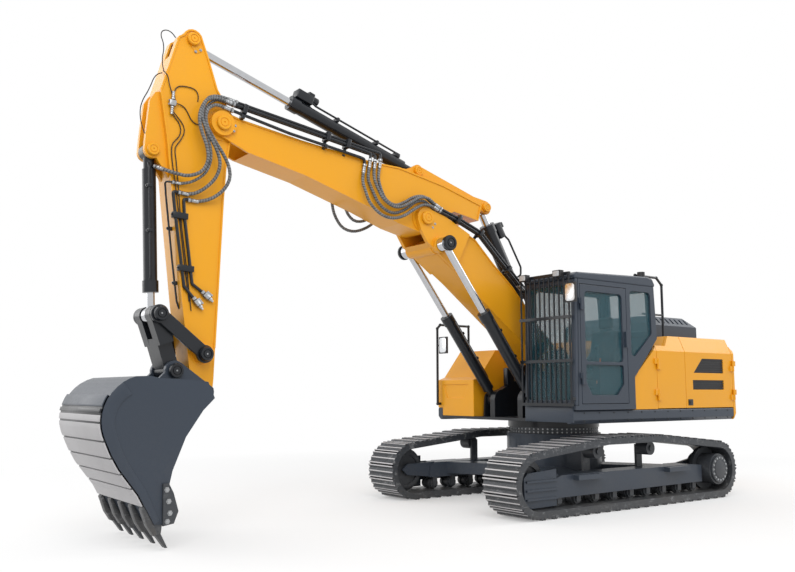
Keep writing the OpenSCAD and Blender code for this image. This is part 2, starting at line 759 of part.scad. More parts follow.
box_in = 560;
tank_front_x = 455;
box_step_z = 1745;
tank_top_z = 2205;
low_tank_z = step_z - panel_t - door_gap;
module right_tanks() {
    color(yellow) mirror([0, 1, 0]) {
        for (x = [[-seam_1_x + door_gap, tank_front_x, tank_top_z], [-seam_2_x, -bulkhead_x - door_gap, low_tank_z]]) {
            difference() {
                block([x[0], box_in, side_low_z], [x[1], upper_half_w, x[2]]);
                block(
                    [x[0] + panel_t, box_in + panel_t, side_low_z + panel_t],
                    [x[1] - panel_t, upper_half_w - panel_t, x[2] - panel_t]
                );
            }
            block([x[0], box_in, deck_z + deck_t], [x[1], upper_half_w - sill_w, side_low_z]);
        }
    }
}
module tool_box() {
    outline = [
        [tank_front_x, side_low_z], [deck_front_x, side_low_z], [deck_front_x, box_step_z],
        [deck_front_x - 130, box_step_z + 45], [tank_front_x + 190, tank_top_z], [tank_front_x, tank_top_z]
    ];
    pressed = [
        [box_in + 220, side_low_z + 150], [upper_half_w - 220, side_low_z + 150],
        [upper_half_w - 130, box_step_z - 70], [box_in + 130, box_step_z - 70]
    ];
    color(yellow) mirror([0, 1, 0]) difference() {
        slab_between(outline, box_in, upper_half_w);
        slab_between(inset(outline, panel_t), box_in + panel_t, upper_half_w - panel_t);
        upright_run(pressed, deck_front_x - 14, deck_front_x + 1);
    }
    color(slate) mirror([0, 1, 0]) block(
        [tank_front_x, box_in, deck_z + deck_t],
        [deck_front_x, upper_half_w - sill_w, side_low_z]
    );
}

// Cab

floor_t = 60;
cab_floor_z = cab_low_z + floor_t;
cab_lean = 40;
cab_back_z = 2330;
cab_back_x = 680;
cab_heel_z = 1770;
cab_heel_x = 150;
front_in_x = cab_front_x - cab_wall;
// The cab's side outline behind its front frame
cab_side = [
    [-cab_heel_x, cab_floor_z], [front_in_x, cab_floor_z], [front_in_x - cab_lean, cab_top_z],
    [-cab_rear_x, cab_top_z], [-cab_back_x, cab_back_z], [-cab_heel_x, cab_heel_z]
];
door_rear_x = 0;
door_front_x = 955;
door_low_z = 1410;
door_top_z = cab_top_z - 70;
pillar = 90;
module cab_floor() {
    color(slate) {
        block([-cab_heel_x, cab_right_y, cab_low_z], [cab_front_x, cab_left_y, cab_floor_z]);
        for (x = [0, cab_front_x - 150])
            for (y = [cab_right_y + 100, upper_half_w - sill_w - 100])
                translate([x, y, deck_z + deck_t]) cylinder(r = 60, h = cab_low_z - deck_z - deck_t);
    }
}
window_rim = 70;
cab_front_outline = [
    [front_in_x, cab_floor_z], [cab_front_x, cab_floor_z], [cab_front_x - cab_lean, cab_top_z],
    [front_in_x - cab_lean, cab_top_z]
];
module cab_front() {
    color(slate) difference() {
        slab_between(cab_front_outline, cab_right_y, cab_left_y);
        block(
            [0, cab_right_y + window_rim, cab_floor_z + window_rim],
            [cab_front_x + 1, cab_left_y - window_rim, cab_top_z - window_rim]
        );
    }
}
window_r = 60;
right_window = rounded([
    [-cab_heel_x + 120, cab_heel_z + 120], [front_in_x - 150, cab_heel_z + 20],
    [front_in_x - 150, cab_top_z - pillar], [-cab_rear_x + 150, cab_top_z - pillar],
    [-cab_rear_x + 120, cab_back_z + 60]
], window_r);
module cab_right_wall() {
    color(slate) difference() {
        slab_between(cab_side, cab_right_y, cab_right_y + cab_wall);
        slab_between(right_window, cab_right_y - 1, cab_right_y + cab_wall + 1);
    }
}
module cab_rear_wall() {
    inner = inset(cab_side, cab_wall);
    outline = [
        cab_side[3], cab_side[4], cab_side[5], cab_side[0],
        [inner[0][0], cab_floor_z], inner[5], inner[4], [inner[3][0], cab_top_z]
    ];
    color(slate) difference() {
        slab_between(outline, cab_right_y + cab_wall, cab_left_y - cab_wall);
        block(
            [-cab_back_x - 1, cab_right_y + cab_wall + window_rim, cab_back_z + 120],
            [-cab_rear_x + 200, cab_left_y - cab_wall - window_rim, cab_top_z - window_rim]
        );
    }
}
quarter_window = rounded([
    [-pillar, 1990], [-pillar, cab_top_z - pillar], [-cab_rear_x + 90, cab_top_z - pillar],
    [-cab_back_x + 120, cab_back_z + 60]
], window_r);
module cab_left_frame() {
    color(slate) {
        difference() {
            slab_between(cab_side, cab_left_y - cab_wall, cab_left_y);
            block(
                [door_rear_x - door_gap, cab_left_y - cab_wall - 1, door_low_z - door_gap],
                [door_front_x + door_gap, cab_left_y + 1, door_top_z + door_gap]
            );
            slab_between(quarter_window, cab_left_y - cab_wall - 1, cab_left_y + 1);
        }
        for (z = cab_hinge_zs) upper_knuckle(cab_hinge, z, [leaf_l / 2, -hinge_out]);
    }
}
roof_over = 20;
roof_rise = 50;
module cab_roof() {
    outline = [
        [-cab_rear_x - roof_over, cab_top_z], [cab_front_x - cab_lean + roof_over, cab_top_z],
        [cab_front_x - cab_lean + roof_over, cab_top_z + roof_t - 40],
        [cab_front_x - cab_lean - 50, cab_top_z + roof_t],
        [-cab_rear_x + 150, cab_top_z + roof_t + roof_rise], [-cab_rear_x + 30, cab_top_z + roof_t + roof_rise - 20],
        [-cab_rear_x - roof_over, cab_top_z + 40]
    ];
    color(slate) slab_between(outline, cab_right_y - 10, cab_left_y + 10);
}
glass_fit = 0.3;
module cab_glass() {
    mid = cab_wall / 2;
    front_pane = [
        [front_in_x + mid - glass_t, cab_floor_z], [front_in_x + mid, cab_floor_z],
        [front_in_x + mid - cab_lean, cab_top_z], [front_in_x + mid - glass_t - cab_lean, cab_top_z]
    ];
    rear_x = -cab_rear_x + mid - 30;
    color(glass) {
        intersection() {
            slab_between(front_pane, cab_right_y, cab_left_y);
            block(
                [0, cab_right_y + window_rim + glass_fit, cab_floor_z + window_rim + glass_fit],
                [cab_front_x, cab_left_y - window_rim - glass_fit, cab_top_z - window_rim - glass_fit]
            );
        }
        slab_between(
            inset(right_window, glass_fit), cab_right_y + mid - glass_t / 2, cab_right_y + mid + glass_t / 2
        );
        slab_between(
            inset(quarter_window, glass_fit), cab_left_y - mid - glass_t / 2, cab_left_y - mid + glass_t / 2
        );
        block(
            [rear_x, cab_right_y + cab_wall + window_rim + glass_fit, cab_back_z + 120 + glass_fit],
            [rear_x + glass_t, cab_left_y - cab_wall - window_rim - glass_fit, cab_top_z - window_rim - glass_fit]
        );
    }
}
cab_hinge = [door_front_x + door_gap / 2, cab_left_y + hinge_out];
cab_hinge_zs = [door_low_z + 250, door_top_z - 350];
door_bar_z = 1950;
door_bar_w = 40;
low_pane_z = door_low_z + 110;
door_window = rounded([
    [door_rear_x + pillar, door_bar_z + door_bar_w / 2], [door_front_x - pillar, door_bar_z + door_bar_w / 2],
    [door_front_x - pillar, door_top_z - pillar], [door_rear_x + pillar, door_top_z - pillar]
], window_r);
// The lower window has slanted lower corners
low_window = rounded([
    [door_rear_x + pillar + 140, low_pane_z], [door_front_x - pillar - 110, low_pane_z],
    [door_front_x - pillar, low_pane_z + 180], [door_front_x - pillar, door_bar_z - door_bar_w / 2],
    [door_rear_x + pillar, door_bar_z - door_bar_w / 2], [door_rear_x + pillar, low_pane_z + 150]
], window_r / 2);
module cab_door() {
    color(slate) {
        difference() {
            block(
                [door_rear_x, cab_left_y - cab_wall, door_low_z],
                [door_front_x, cab_left_y, door_top_z]
            );
            slab_between(door_window, cab_left_y - cab_wall - 1, cab_left_y + 1);
            slab_between(low_window, cab_left_y - cab_wall - 1, cab_left_y + 1);
        }
        for (z = cab_hinge_zs) knuckle(cab_hinge, z, [-leaf_l, -hinge_out]);
        block([door_rear_x + 25, cab_left_y, 2180], [door_rear_x + 65, cab_left_y + 45, 2400]);
    }
}
module door_glass() {
    mid = cab_left_y - cab_wall / 2;
    color(glass) for (outline = [door_window, low_window])
        slab_between(inset(outline, glass_fit), mid - glass_t / 2, mid + glass_t / 2);
}
guard_x = 1150;
guard_r = 13;
module front_guard() {
    low_y = cab_right_y + 20;
    high_y = cab_left_y - 20;
    low_z = cab_floor_z + 10;
    high_z = cab_top_z + 60;
    color(black) {
        for (k = [0:guard_bars - 1])
            translate([guard_x, low_y + (high_y - low_y) * k / (guard_bars - 1), low_z])
                cylinder(r = guard_r, h = high_z - low_z);
        for (z = [low_z, low_z + (high_z - low_z) / 3, low_z + (high_z - low_z) * 2 / 3, high_z])
            block([guard_x - 20, low_y - 20, z - 20], [guard_x + 20, high_y + 20, z + 20]);
        difference() {
            for (y = [low_y, high_y])
                for (z = [low_z + 60, high_z - 190])
                    block([cab_front_x - cab_lean - 5, y - 20, z], [guard_x, y + 20, z + 40]);
            slab_between(cab_front_outline, cab_right_y - 1, cab_left_y + 1);
        }
    }
}
seat_x = 180;
seat_y = (cab_right_y + cab_left_y) / 2;
module seat() {
    color(dark) {
        block([seat_x - 200, seat_y - 180, cab_floor_z], [seat_x + 200, seat_y + 180, cab_floor_z + 330]);
        block([seat_x - 240, seat_y - 250, cab_floor_z + 330], [seat_x + 270, seat_y + 250, cab_floor_z + 470]);
        slab_between(
            [
                [seat_x - 240, cab_floor_z + 470], [seat_x - 110, cab_floor_z + 470],
                [seat_x - 220, cab_floor_z + 1080], [seat_x - 340, cab_floor_z + 1080]
            ],
            seat_y - 240, seat_y + 240
        );
        slab_between(
            [
                [seat_x - 345, cab_floor_z + 1080], [seat_x - 240, cab_floor_z + 1080],
                [seat_x - 260, cab_floor_z + 1260], [seat_x - 350, cab_floor_z + 1260]
            ],
            seat_y - 130, seat_y + 130
        );
    }
}
module consoles() {
    color(black) for (s = [-1, 1]) translate([0, seat_y + s * 330, 0]) {
        block([seat_x - 150, -60, cab_floor_z], [seat_x + 330, 60, cab_floor_z + 560]);
        bar([seat_x + 270, 0, cab_floor_z + 560], [seat_x + 300, 0, cab_floor_z + 760], 18);
        translate([seat_x + 304, 0, cab_floor_z + 785]) sphere(r = 34);
    }
}
rail_r = 19;
rail_up = 190;
rail_bar_z = 2710;
module handrails() {
    rear_x = -rise_x - 30;
    rear_y = upper_half_w - shoulder_in - 90;
    pole_x = deck_front_x + 60;
    pole_y = -upper_half_w + 60;
    color(black) {
        rail(
            [
                [rear_x, rear_y, body_top_z], [rear_x, rear_y, cab_top_z + 90],
                [rear_x + 120, rear_y, cab_top_z + rail_up], [-cab_rear_x + 120, rear_y, cab_top_z + rail_up],
                [-cab_rear_x + 120, rear_y, cab_top_z + roof_t + roof_rise - 5]
            ],
            rail_r
        );
        difference() {
            bar([rear_x, rear_y, rail_bar_z], [-cab_rear_x, rear_y, rail_bar_z], rail_r - 4);
            slab_between(cab_side, cab_right_y, cab_left_y);
        }
        rail(
            [
                [deck_front_x, pole_y, side_low_z + 60], [pole_x, pole_y, side_low_z + 60],
                [pole_x, pole_y, 2560], [pole_x - 60, pole_y, 2620], [tank_front_x + 60, pole_y, 2620],
                [tank_front_x + 60, pole_y, tank_top_z]
            ],
            rail_r
        );
    }
}

mirror_size = [28, 190, 260];
lamp_size = [80, 130, 90];
left_mirror_at = [1215, 1500, 2870];
right_mirror_z = 2290;
// A mirror's housing with its back to the front, at the middle of its back
module mirror_case(at) translate([at[0], at[1], at[2]]) cube(mirror_size, center = true);
module cab_fittings() {
    pole_x = deck_front_x + 60;
    pole_y = -upper_half_w + 60;
    guard_top_z = cab_top_z + 60;
    beacon_x = 80 - cab_rear_x;
    color(black) {
        difference() {
            union() {
                mirror_case(left_mirror_at);
                bar([guard_x, cab_left_y - 20, left_mirror_at[2]], left_mirror_at, 14);
            }
            translate([0, 0, 0]) front_guard();
        }
        difference() {
            union() {
                mirror_case([pole_x, pole_y + 150, right_mirror_z]);
                bar([pole_x, pole_y, right_mirror_z], [pole_x, pole_y + 150, right_mirror_z], 12);
            }
            handrails();
        }
        for (y = [cab_right_y + 150, cab_left_y - 150]) block(
            [guard_x + 20, y - lamp_size[1] / 2, guard_top_z - lamp_size[2] / 2],
            [guard_x + 20 + lamp_size[0], y + lamp_size[1] / 2, guard_top_z + lamp_size[2] / 2]
        );
        difference() {
            translate([beacon_x, cab_left_y - 150, cab_top_z + roof_t]) cylinder(r = 55, h = 140);
            cab_roof();
        }
    }
}

// Base boom

base_boom_outline = concat(
    arc([0, 0], 150, 100, 260, 8),
    [
        [700, -215], [base_boom_l - 1030, -225], [base_boom_l - 650, -245], [base_boom_l - 200, -255],
        [base_boom_l - 100, 200], [base_boom_l - 430, 305], [base_boom_l - 857, 395],
        [base_boom_l - 1280, 350], [base_boom_l - 1800, 325], [600, 200]
    ]
);
joint_clear_r = 335;
module base_boom() {
    ear = concat(
        [[base_boom_l - 800, -235], [base_boom_l - 200, -255], [base_boom_l - 20, -190]],
        arc([base_boom_l, 0], 150, -50, 90, 8),
        [[base_boom_l - 235, 245], [base_boom_l - 700, 345]]
    );
    lug = concat(
        [[adjust_base_at[0] - 200, 180], [adjust_base_at[0] + 260, 200]],
        arc(adjust_base_at, 110, 30, 150, 8)
    );
    color(yellow) along(foot_pin, base_boom_tilt) difference() {
        union() {
            difference() {
                union() {
                    welded_box(base_boom_outline, base_boom_w);
                    cross_bar([0, 0], 150, base_boom_w);
                    cross_bar(boom_rod_at, 120, base_boom_w);
                }
                cross_bar([base_boom_l, 0], joint_clear_r, 2 * boom_ear_in);
            }
            both_sides() {
                slab_between(ear, boom_ear_in, boom_ear_out);
                slab_between(lug, lug_in, lug_in + lug_t);
                cross_bar_between(boom_rod_at, 110, base_boom_w / 2 - 30, boom_eye_in - side_gap);
            }
            cross_bar([base_boom_l, 0], pin_r, 2 * boom_ear_out + 30);
            cross_bar(adjust_base_at, pin_r, 2 * (lug_in + lug_t + 15));
        }
        cross_bar([0, 0], pin_r + pin_gap, base_boom_w + 2);
    }
}

// Front boom

front_boom_outline = concat(
    [[-935, 331], [-484, 293], [-232, 117]],
    arc([0, 0], 200, 165, 265, 6),
    [
        [368, -216], [883, -179], [front_boom_l - 1200, -152], [front_boom_l - 400, -195], [front_boom_l - 130, -158]
    ],
    arc([front_boom_l, 0], 150, -60, 85, 8),
    [[front_boom_l - 230, 155], [front_boom_l - 1020, 252], [1014, 415], [552, 528], [-209, 587], [-939, 576]]
);
nose_clear_r = 460;
module front_boom() {
    ridge = concat(
        [[-958, 546], [-706, 390], [996, 315], [1034, 411], [391, 596]],
        arc(arm_base_at, 90, 20, 120, 6),
        [[-840, 688]],
        arc(adjust_rod_at, 100, 80, 230, 8)
    );
    color(yellow) along(joint_pin, front_boom_tilt) difference() {
        union() {
            difference() {
                union() {
                    welded_box(front_boom_outline, front_boom_w);
                    cross_bar([0, 0], 190, front_boom_w);
                }
                cross_bar([front_boom_l, 0], nose_clear_r, 2 * nose_ear_in);
            }
            both_sides() {
                slab_between(ridge, lug_in, lug_in + lug_t);
                cross_bar_between([front_boom_l, 0], 145, nose_ear_in, nose_ear_out + 20);
            }
            cross_bar([front_boom_l, 0], pin_r, 2 * nose_ear_out + 60);
            cross_bar(arm_base_at, pin_r, 2 * (lug_in + lug_t + 12));
            both_sides() cross_bar_between(adjust_rod_at, pin_r, lug_in + lug_t - 1, lug_in + lug_t + 25);
        }
        cross_bar([0, 0], pin_r + pin_gap, front_boom_w + 2);
    }
}

// Stick

stick_outline = concat(
    [
        [-721, 197], [-407, 70], [-210, -80], [-100, -170], [60, -180], [190, -135], [486, -112], [853, -109],
        [stick_l - 1400, -124], [stick_l - 135, -148]
    ],
    arc([stick_l, 0], 150, -70, 70, 8),
    [
        [stick_l - 135, 120], [stick_l - 960, 292], [870, 527], [300, 625], [-230, 745], [-766, 622], [-905, 590]
    ],
    arc(arm_rod_at, 120, 105, 235, 6)
);
rod_slot_r = 330;
ear_sweep_r = norm(bucket_pin_at) + 125;
module stick() {
    lug = concat(
        [[820, 490], [-250, 640], [-200, 780], [-100, 832], [bucket_base_at[0] - 158, bucket_base_at[1] + 93]],
        [for (i = [8:-1:0]) arc(bucket_base_at, 95, -30, 100, 8)[i]]
    );
    color(yellow) along(nose_pin, stick_tilt) difference() {
        union() {
            difference() {
                union() {
                    welded_box(stick_outline, stick_w);
                    cross_bar([0, 0], 190, stick_w);
                    cross_bar(link_at, 110, stick_w);
                    cross_bar([stick_l, 0], 150, 2 * tip_half_w);
                }
                cross_bar(arm_rod_at, rod_slot_r, 2 * lug_in);
                both_sides() cross_bar_between([stick_l, 0], ear_sweep_r, tip_half_w, stick_w / 2 + 1);
            }
            both_sides() {
                slab_between([for (i = [len(lug) - 1:-1:0]) lug[i]], lug_in, lug_in + lug_t);
                cross_bar_between(arm_rod_at, pin_r, stick_w / 2 - 2 * rib, stick_w / 2 + rib);
                cross_bar_between(link_at, 100, stick_w / 2 - 30, side_link_in - side_gap);
            }
            cross_bar(bucket_base_at, pin_r, 2 * (lug_in + lug_t + 12));
        }
        cross_bar([0, 0], pin_r + pin_gap, stick_w + 2);
        cross_bar(link_at, pin_r + pin_gap, 2 * side_link_in);
        cross_bar([stick_l, 0], pin_r + pin_gap, stick_w + 2);
    }
}

// Bucket, in its own plane from the pin at the stick's tip

heel_c = [790, -265];
heel_r = 440;
lip_at = [672, -1300];
shell_outer = concat(
    [[300, -60], [620, 20], [760, 150]],
    arc(heel_c, heel_r, 75, -20, 10),
    [[1124, -596], [1040, -740], [839, -1000], lip_at]
);
shell_inner = [
    for (i = [0:len(shell_outer) - 1])
        let (
            before = shell_outer[max(i - 1, 0)],
            after = shell_outer[min(i + 1, len(shell_outer) - 1)],
            side = left_of(unit(after - before))
        )
        shell_outer[i] - bucket_t * side
];
shell = concat(shell_outer, [for (i = [len(shell_inner) - 1:-1:0]) shell_inner[i]]);
// Wear strips along the shell's back, from below the heel to above the lip
strip_count = 6;
strip_w = 80;
strip_t = 14;
strip_at = [for (i = [8:len(shell_outer) - 2]) i];
strip = concat(
    [for (i = strip_at) shell_outer[i] + (strip_t / bucket_t) * (shell_outer[i] - shell_inner[i])],
    [for (k = [len(strip_at) - 1:-1:0]) shell_inner[strip_at[k]] + (shell_outer[strip_at[k]] - shell_inner[strip_at[k]]) / 2]
);
side_plate = concat(
    [[60, -60], [140, 110], [300, 127], [662, 144], [760, 165]],
    [for (i = [3:len(shell_outer) - 1]) shell_outer[i]],
    [[590, -1300], [521, -894], [497, -782], [366, -453], [185, -185]]
);
module bucket() {
    ear = concat(
        arc([0, 0], 140, 160, 300, 8),
        [[330, -160], [640, -30], [600, 40]],
        arc(bucket_pin_at, 110, -10, 130, 8)
    );
    color(slate) translate([tip_pin[0], 0, tip_pin[1]]) {
        slab(shell, bucket_w - 2 * bucket_t);
        for (k = [0:strip_count - 1])
            translate([0, (k / (strip_count - 1) - 0.5) * (bucket_w - 260), 0]) slab(strip, strip_w);
        both_sides() {
            slab_between(side_plate, bucket_w / 2 - bucket_t, bucket_w / 2);
            slab_between(ear, bucket_ear_in, bucket_ear_out);
            cross_bar_between(bucket_pin_at, pin_r, bucket_ear_out - 1, bucket_ear_out + 25);
        }
        cross_bar([0, 0], pin_r, 2 * bucket_ear_out + 30);
    }
}
tooth_tip = [520, -1538];
tooth_w = 100;
tip_w = 50;
module bucket_teeth() {
    adapter = [
        lip_at + [18, 60], lip_at + [45, -10], lip_at + [-20, -110], lip_at + [-75, -90], lip_at + [-85, 0]
    ];
    point = [lip_at + [-20, -100], tooth_tip + [25, 0], tooth_tip, lip_at + [-72, -85]];
    cutter = [
        [541, -905], [490, -1000], [434, -1182], [478, -1300], [590, -1318], [600, -905]
    ];
    span = bucket_w - tooth_w - 10;
    color(dark) translate([tip_pin[0], 0, tip_pin[1]]) {
        difference() {
            for (k = [0:tooth_count - 1]) translate([0, -span / 2 + span * k / (tooth_count - 1), 0]) {
                slab(adapter, tooth_w);
                slab(point, tooth_w - 20);
            }
            slab(shell, bucket_w);
            both_sides() slab_between(side_plate, bucket_w / 2 - bucket_t, bucket_w / 2 + 1);
        }
        both_sides() slab_between(cutter, bucket_w / 2, bucket_w / 2 + 30);
    }
}

// Bucket linkage

module side_links() {
    color(dark) {
        both_sides() {
            along(link_pin, side_link_tilt) {
                slab_between(
                    [[0, -75], [side_link_l, -75], [side_link_l, 75], [0, 75]], side_link_in, side_link_out
                );
                cross_bar_between([0, 0], 100, side_link_in, side_link_out);
                cross_bar_between([side_link_l, 0], 100, side_link_in, side_link_out);
                cross_bar_between([side_link_l, 0], pin_r, lug_in + side_gap, side_link_out + 15);
            }
        }
        cross_bar(link_pin, pin_r, 2 * side_link_out + 30);
    }
}
module bucket_link() {
    tilt = slope(knee_pin, ear_pin);
    link_l = norm(ear_pin - knee_pin);
    arm_in = lug_in + side_gap + 2;
    arm_out = side_link_in - side_gap;
    color(dark) along(knee_pin, tilt) difference() {
        union() {
            both_sides() {
                slab_between([[0, -90], [330, -80], [330, 80], [0, 90]], arm_in, arm_out);
                cross_bar_between([0, 0], 100, arm_in, arm_out);
            }
            slab([[250, -80], [link_l, -80], [link_l, 80], [250, 80]], 2 * tip_half_w - 2 * side_gap);
            cross_bar([link_l, 0], 90, 2 * tip_half_w);
        }
        cross_bar([0, 0], pin_r + pin_gap, 2 * arm_out + 2);
    }
}

// Cylinders: barrel and rod lie along the line from the base pin to the rod's eye

gland_l = 130;
neck_l = 200;
neck_in = 4;
module barrel(r, l, eye_r, half_w, bore_r, start) {
    difference() {
        union() {
            rotate([0, 90, 0]) cylinder(r = half_w - neck_in, h = neck_l + 1);
            translate([neck_l, 0, 0]) rotate([0, 90, 0]) cylinder(r = r, h = l - neck_l);
            translate([l - gland_l, 0, 0]) rotate([0, 90, 0]) cylinder(r = r + 12, h = gland_l);
            cross_bar([0, 0], eye_r, 2 * half_w);
        }
        cross_bar([0, 0], pin_r + pin_gap, 2 * half_w + 2);
        translate([start, 0, 0]) rotate([0, 90, 0]) cylinder(r = bore_r, h = l);
    }
}
module rod(r, start, l, eye_r, half_w) {
    translate([start, 0, 0]) rotate([0, 90, 0]) cylinder(r = r, h = l - start);
    cross_bar([l, 0], eye_r, 2 * half_w);
}
rod_gap = 0.5;
bore_start = neck_l + 15;

boom_cyl_l = norm(boom_rod_pin - boom_base_pin);
boom_cyl_tilt = slope(boom_base_pin, boom_rod_pin);
boom_rod_out = 1119.1;
boom_barrel_l = boom_cyl_l - boom_rod_out;
boom_rod_start = 900;
module boom_barrels() {
    color(black) both_sides() translate([0, boom_cyl_y, 0]) along(boom_base_pin, boom_cyl_tilt)
        barrel(boom_barrel_r, boom_barrel_l, 100, boom_eye_half_w, boom_rod_r + rod_gap, bore_start);
}
module boom_rods() {
    color(chrome) both_sides() translate([0, boom_cyl_y, 0]) along(boom_base_pin, boom_cyl_tilt) {
        rod(boom_rod_r, boom_rod_start, boom_cyl_l, 95, boom_eye_half_w);
        cross_bar_between([boom_cyl_l, 0], 80, boom_eye_half_w - 1, boom_eye_half_w + 40);
    }
}
adjust_cyl_l = norm(adjust_rod_pin - adjust_base_pin);
adjust_cyl_tilt = slope(adjust_base_pin, adjust_rod_pin);
adjust_rod_out = 260.3;
adjust_barrel_l = adjust_cyl_l - adjust_rod_out;
adjust_rod_start = 320;
module adjust_barrel() {
    color(black) along(adjust_base_pin, adjust_cyl_tilt)
        barrel(adjust_barrel_r, adjust_barrel_l, 85, eye_half_w, adjust_rod_r + rod_gap, bore_start);
}
module adjust_rod() {
    color(chrome) along(adjust_base_pin, adjust_cyl_tilt)
        rod(adjust_rod_r, adjust_rod_start, adjust_cyl_l, 95, eye_half_w);
}
arm_cyl_l = norm(arm_rod_pin - arm_base_pin);
arm_cyl_tilt = slope(arm_base_pin, arm_rod_pin);
arm_rod_out = 1418;
arm_barrel_l = arm_cyl_l - arm_rod_out;
arm_rod_start = 1400;
module arm_barrel() {
    color(black) along(arm_base_pin, arm_cyl_tilt)
        barrel(arm_barrel_r, arm_barrel_l, 85, eye_half_w, arm_rod_r + rod_gap, bore_start);
}
module arm_rod() {
    color(chrome) along(arm_base_pin, arm_cyl_tilt)
        rod(arm_rod_r, arm_rod_start, arm_cyl_l, 90, eye_half_w);
}
bucket_cyl_l = norm(knee_pin - bucket_base_pin);
bucket_cyl_tilt = slope(bucket_base_pin, knee_pin);
bucket_rod_out = 250;
bucket_barrel_l = bucket_cyl_l - bucket_rod_out;
bucket_rod_start = 450;
module bucket_barrel() {
    color(black) along(bucket_base_pin, bucket_cyl_tilt)
        barrel(bucket_barrel_r, bucket_barrel_l, 95, eye_half_w, bucket_rod_r + rod_gap, bore_start);
}
module bucket_rod() {
    color(chrome) along(bucket_base_pin, bucket_cyl_tilt)
        rod(bucket_rod_r, bucket_rod_start, bucket_cyl_l, 90, eye_half_w);
}

carbody();
swing_bearing();
track_frame_left();
track_frame_right();
track_left();
track_right();
idlers();
sprockets();
track_rollers();
carrier_rollers();
main_frame();
side_sills();
counterweight();
engine();
cab_floor();
cab_front();
cab_right_wall();
cab_rear_wall();
cab_left_frame();
cab_roof();
cab_glass();
front_guard();
seat();
consoles();
body_panels();
right_tanks();
tool_box();
handrails();
cab_fittings();
cab_door();
door_glass();
engine_hood();
left_front_door();
left_rear_door();
left_grilles();
pump_door();
pump_grilles();
base_boom();
front_boom();
stick();
bucket();
bucket_teeth();
side_links();
bucket_link();
boom_barrels();
boom_rods();
adjust_barrel();
adjust_rod();
arm_barrel();
arm_rod();
bucket_barrel();
bucket_rod();
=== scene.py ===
"""Dresses the crawler excavator's frame: paint, glass, hoses, fittings and a plain studio."""

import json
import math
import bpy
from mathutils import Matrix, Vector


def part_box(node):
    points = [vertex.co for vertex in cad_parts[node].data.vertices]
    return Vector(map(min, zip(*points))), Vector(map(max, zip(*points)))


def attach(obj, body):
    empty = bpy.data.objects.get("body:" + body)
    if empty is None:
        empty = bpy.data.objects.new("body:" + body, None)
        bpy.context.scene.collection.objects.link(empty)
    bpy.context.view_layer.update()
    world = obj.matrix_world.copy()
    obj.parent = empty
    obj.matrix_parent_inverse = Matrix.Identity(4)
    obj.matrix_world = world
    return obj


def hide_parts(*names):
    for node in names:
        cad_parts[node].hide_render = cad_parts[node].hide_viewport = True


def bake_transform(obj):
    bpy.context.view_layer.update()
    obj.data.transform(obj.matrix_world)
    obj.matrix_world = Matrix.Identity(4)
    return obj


bl_info = {
    "name": "Crawler Excavator Finish",
    "version": (1, 0, 0),
    "blender": (4, 5, 0),
    "location": "View3D > Sidebar > Excavator",
    "description": "Paint, glass, hoses, fittings and a studio for the crawler excavator",
    "category": "Object",
}

import bpy
from mathutils import Matrix, Vector

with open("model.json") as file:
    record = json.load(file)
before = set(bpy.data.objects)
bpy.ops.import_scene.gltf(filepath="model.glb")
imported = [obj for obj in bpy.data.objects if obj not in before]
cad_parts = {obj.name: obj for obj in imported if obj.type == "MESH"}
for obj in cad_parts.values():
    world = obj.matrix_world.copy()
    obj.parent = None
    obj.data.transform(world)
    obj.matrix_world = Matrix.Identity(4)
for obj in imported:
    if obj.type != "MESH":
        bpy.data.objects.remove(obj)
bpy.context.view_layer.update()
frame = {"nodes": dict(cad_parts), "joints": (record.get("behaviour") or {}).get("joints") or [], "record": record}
NODES = frame["nodes"]
JOINT_AT = {joint["name"]: Vector(joint["pos_m"]) for joint in frame["joints"] if "pos_m" in joint}
JOINT_AXIS = {joint["name"]: Vector(joint["axis"]) for joint in frame["joints"]}


# Colours and sizes that a user would change


def colour(label, words, value):
    """A colour property."""
    return bpy.props.FloatVectorProperty(
        name=label, description=words, default=value, size=3, min=0.0, max=1.0, subtype="COLOR"
    )


class PaintColours(bpy.types.PropertyGroup):
    """Colours of the machine's finishes"""

    yellow: colour("Yellow", "Booms, stick, panels and counterweight", (0.83, 0.365, 0.008))
    slate: colour("Slate", "Cab, sills, hood and bucket", (0.036, 0.048, 0.068))
    black: colour("Black", "Cylinders, guard, rails and links", (0.008, 0.010, 0.014))
    undercarriage: colour("Undercarriage", "Tracks, frames and rollers", (0.036, 0.041, 0.049))
    dust: colour("Dust", "Dry soil on the lower parts", (0.30, 0.26, 0.21))
    bare_steel: colour("Bare steel", "Worn edges, teeth and fittings", (0.42, 0.43, 0.44))
    glass: colour("Glass", "Tint of the windows", (0.14, 0.50, 0.63))
    floor: colour("Floor", "Studio floor", (0.86, 0.86, 0.86))


class StudioSettings(bpy.types.PropertyGroup):
    """Camera and light of the studio"""

    camera_place: bpy.props.FloatVectorProperty(
        name="Camera place", description="Where the camera stands", default=(9.6135, 9.0047, 1.5702),
        size=3, subtype="TRANSLATION", unit="LENGTH",
    )
    camera_heading: bpy.props.FloatProperty(
        name="Heading", description="Compass direction that the camera looks along, from +X",
        default=math.radians(233.474), subtype="ANGLE",
    )
    camera_rise: bpy.props.FloatProperty(
        name="Rise", description="How far the camera looks up", default=math.radians(7.138), subtype="ANGLE",
    )
    lens: bpy.props.FloatProperty(
        name="Lens", description="Focal length in millimetres", default=38.14, min=10.0, max=200.0,
    )
    key_power: bpy.props.FloatProperty(
        name="Key light", description="Power of the large soft light", default=900.0, subtype="POWER",
    )
    sky_strength: bpy.props.FloatProperty(
        name="Sky", description="Strength of the even light from all round", default=0.75, min=0.0, max=2.0,
    )


# Node groups and materials


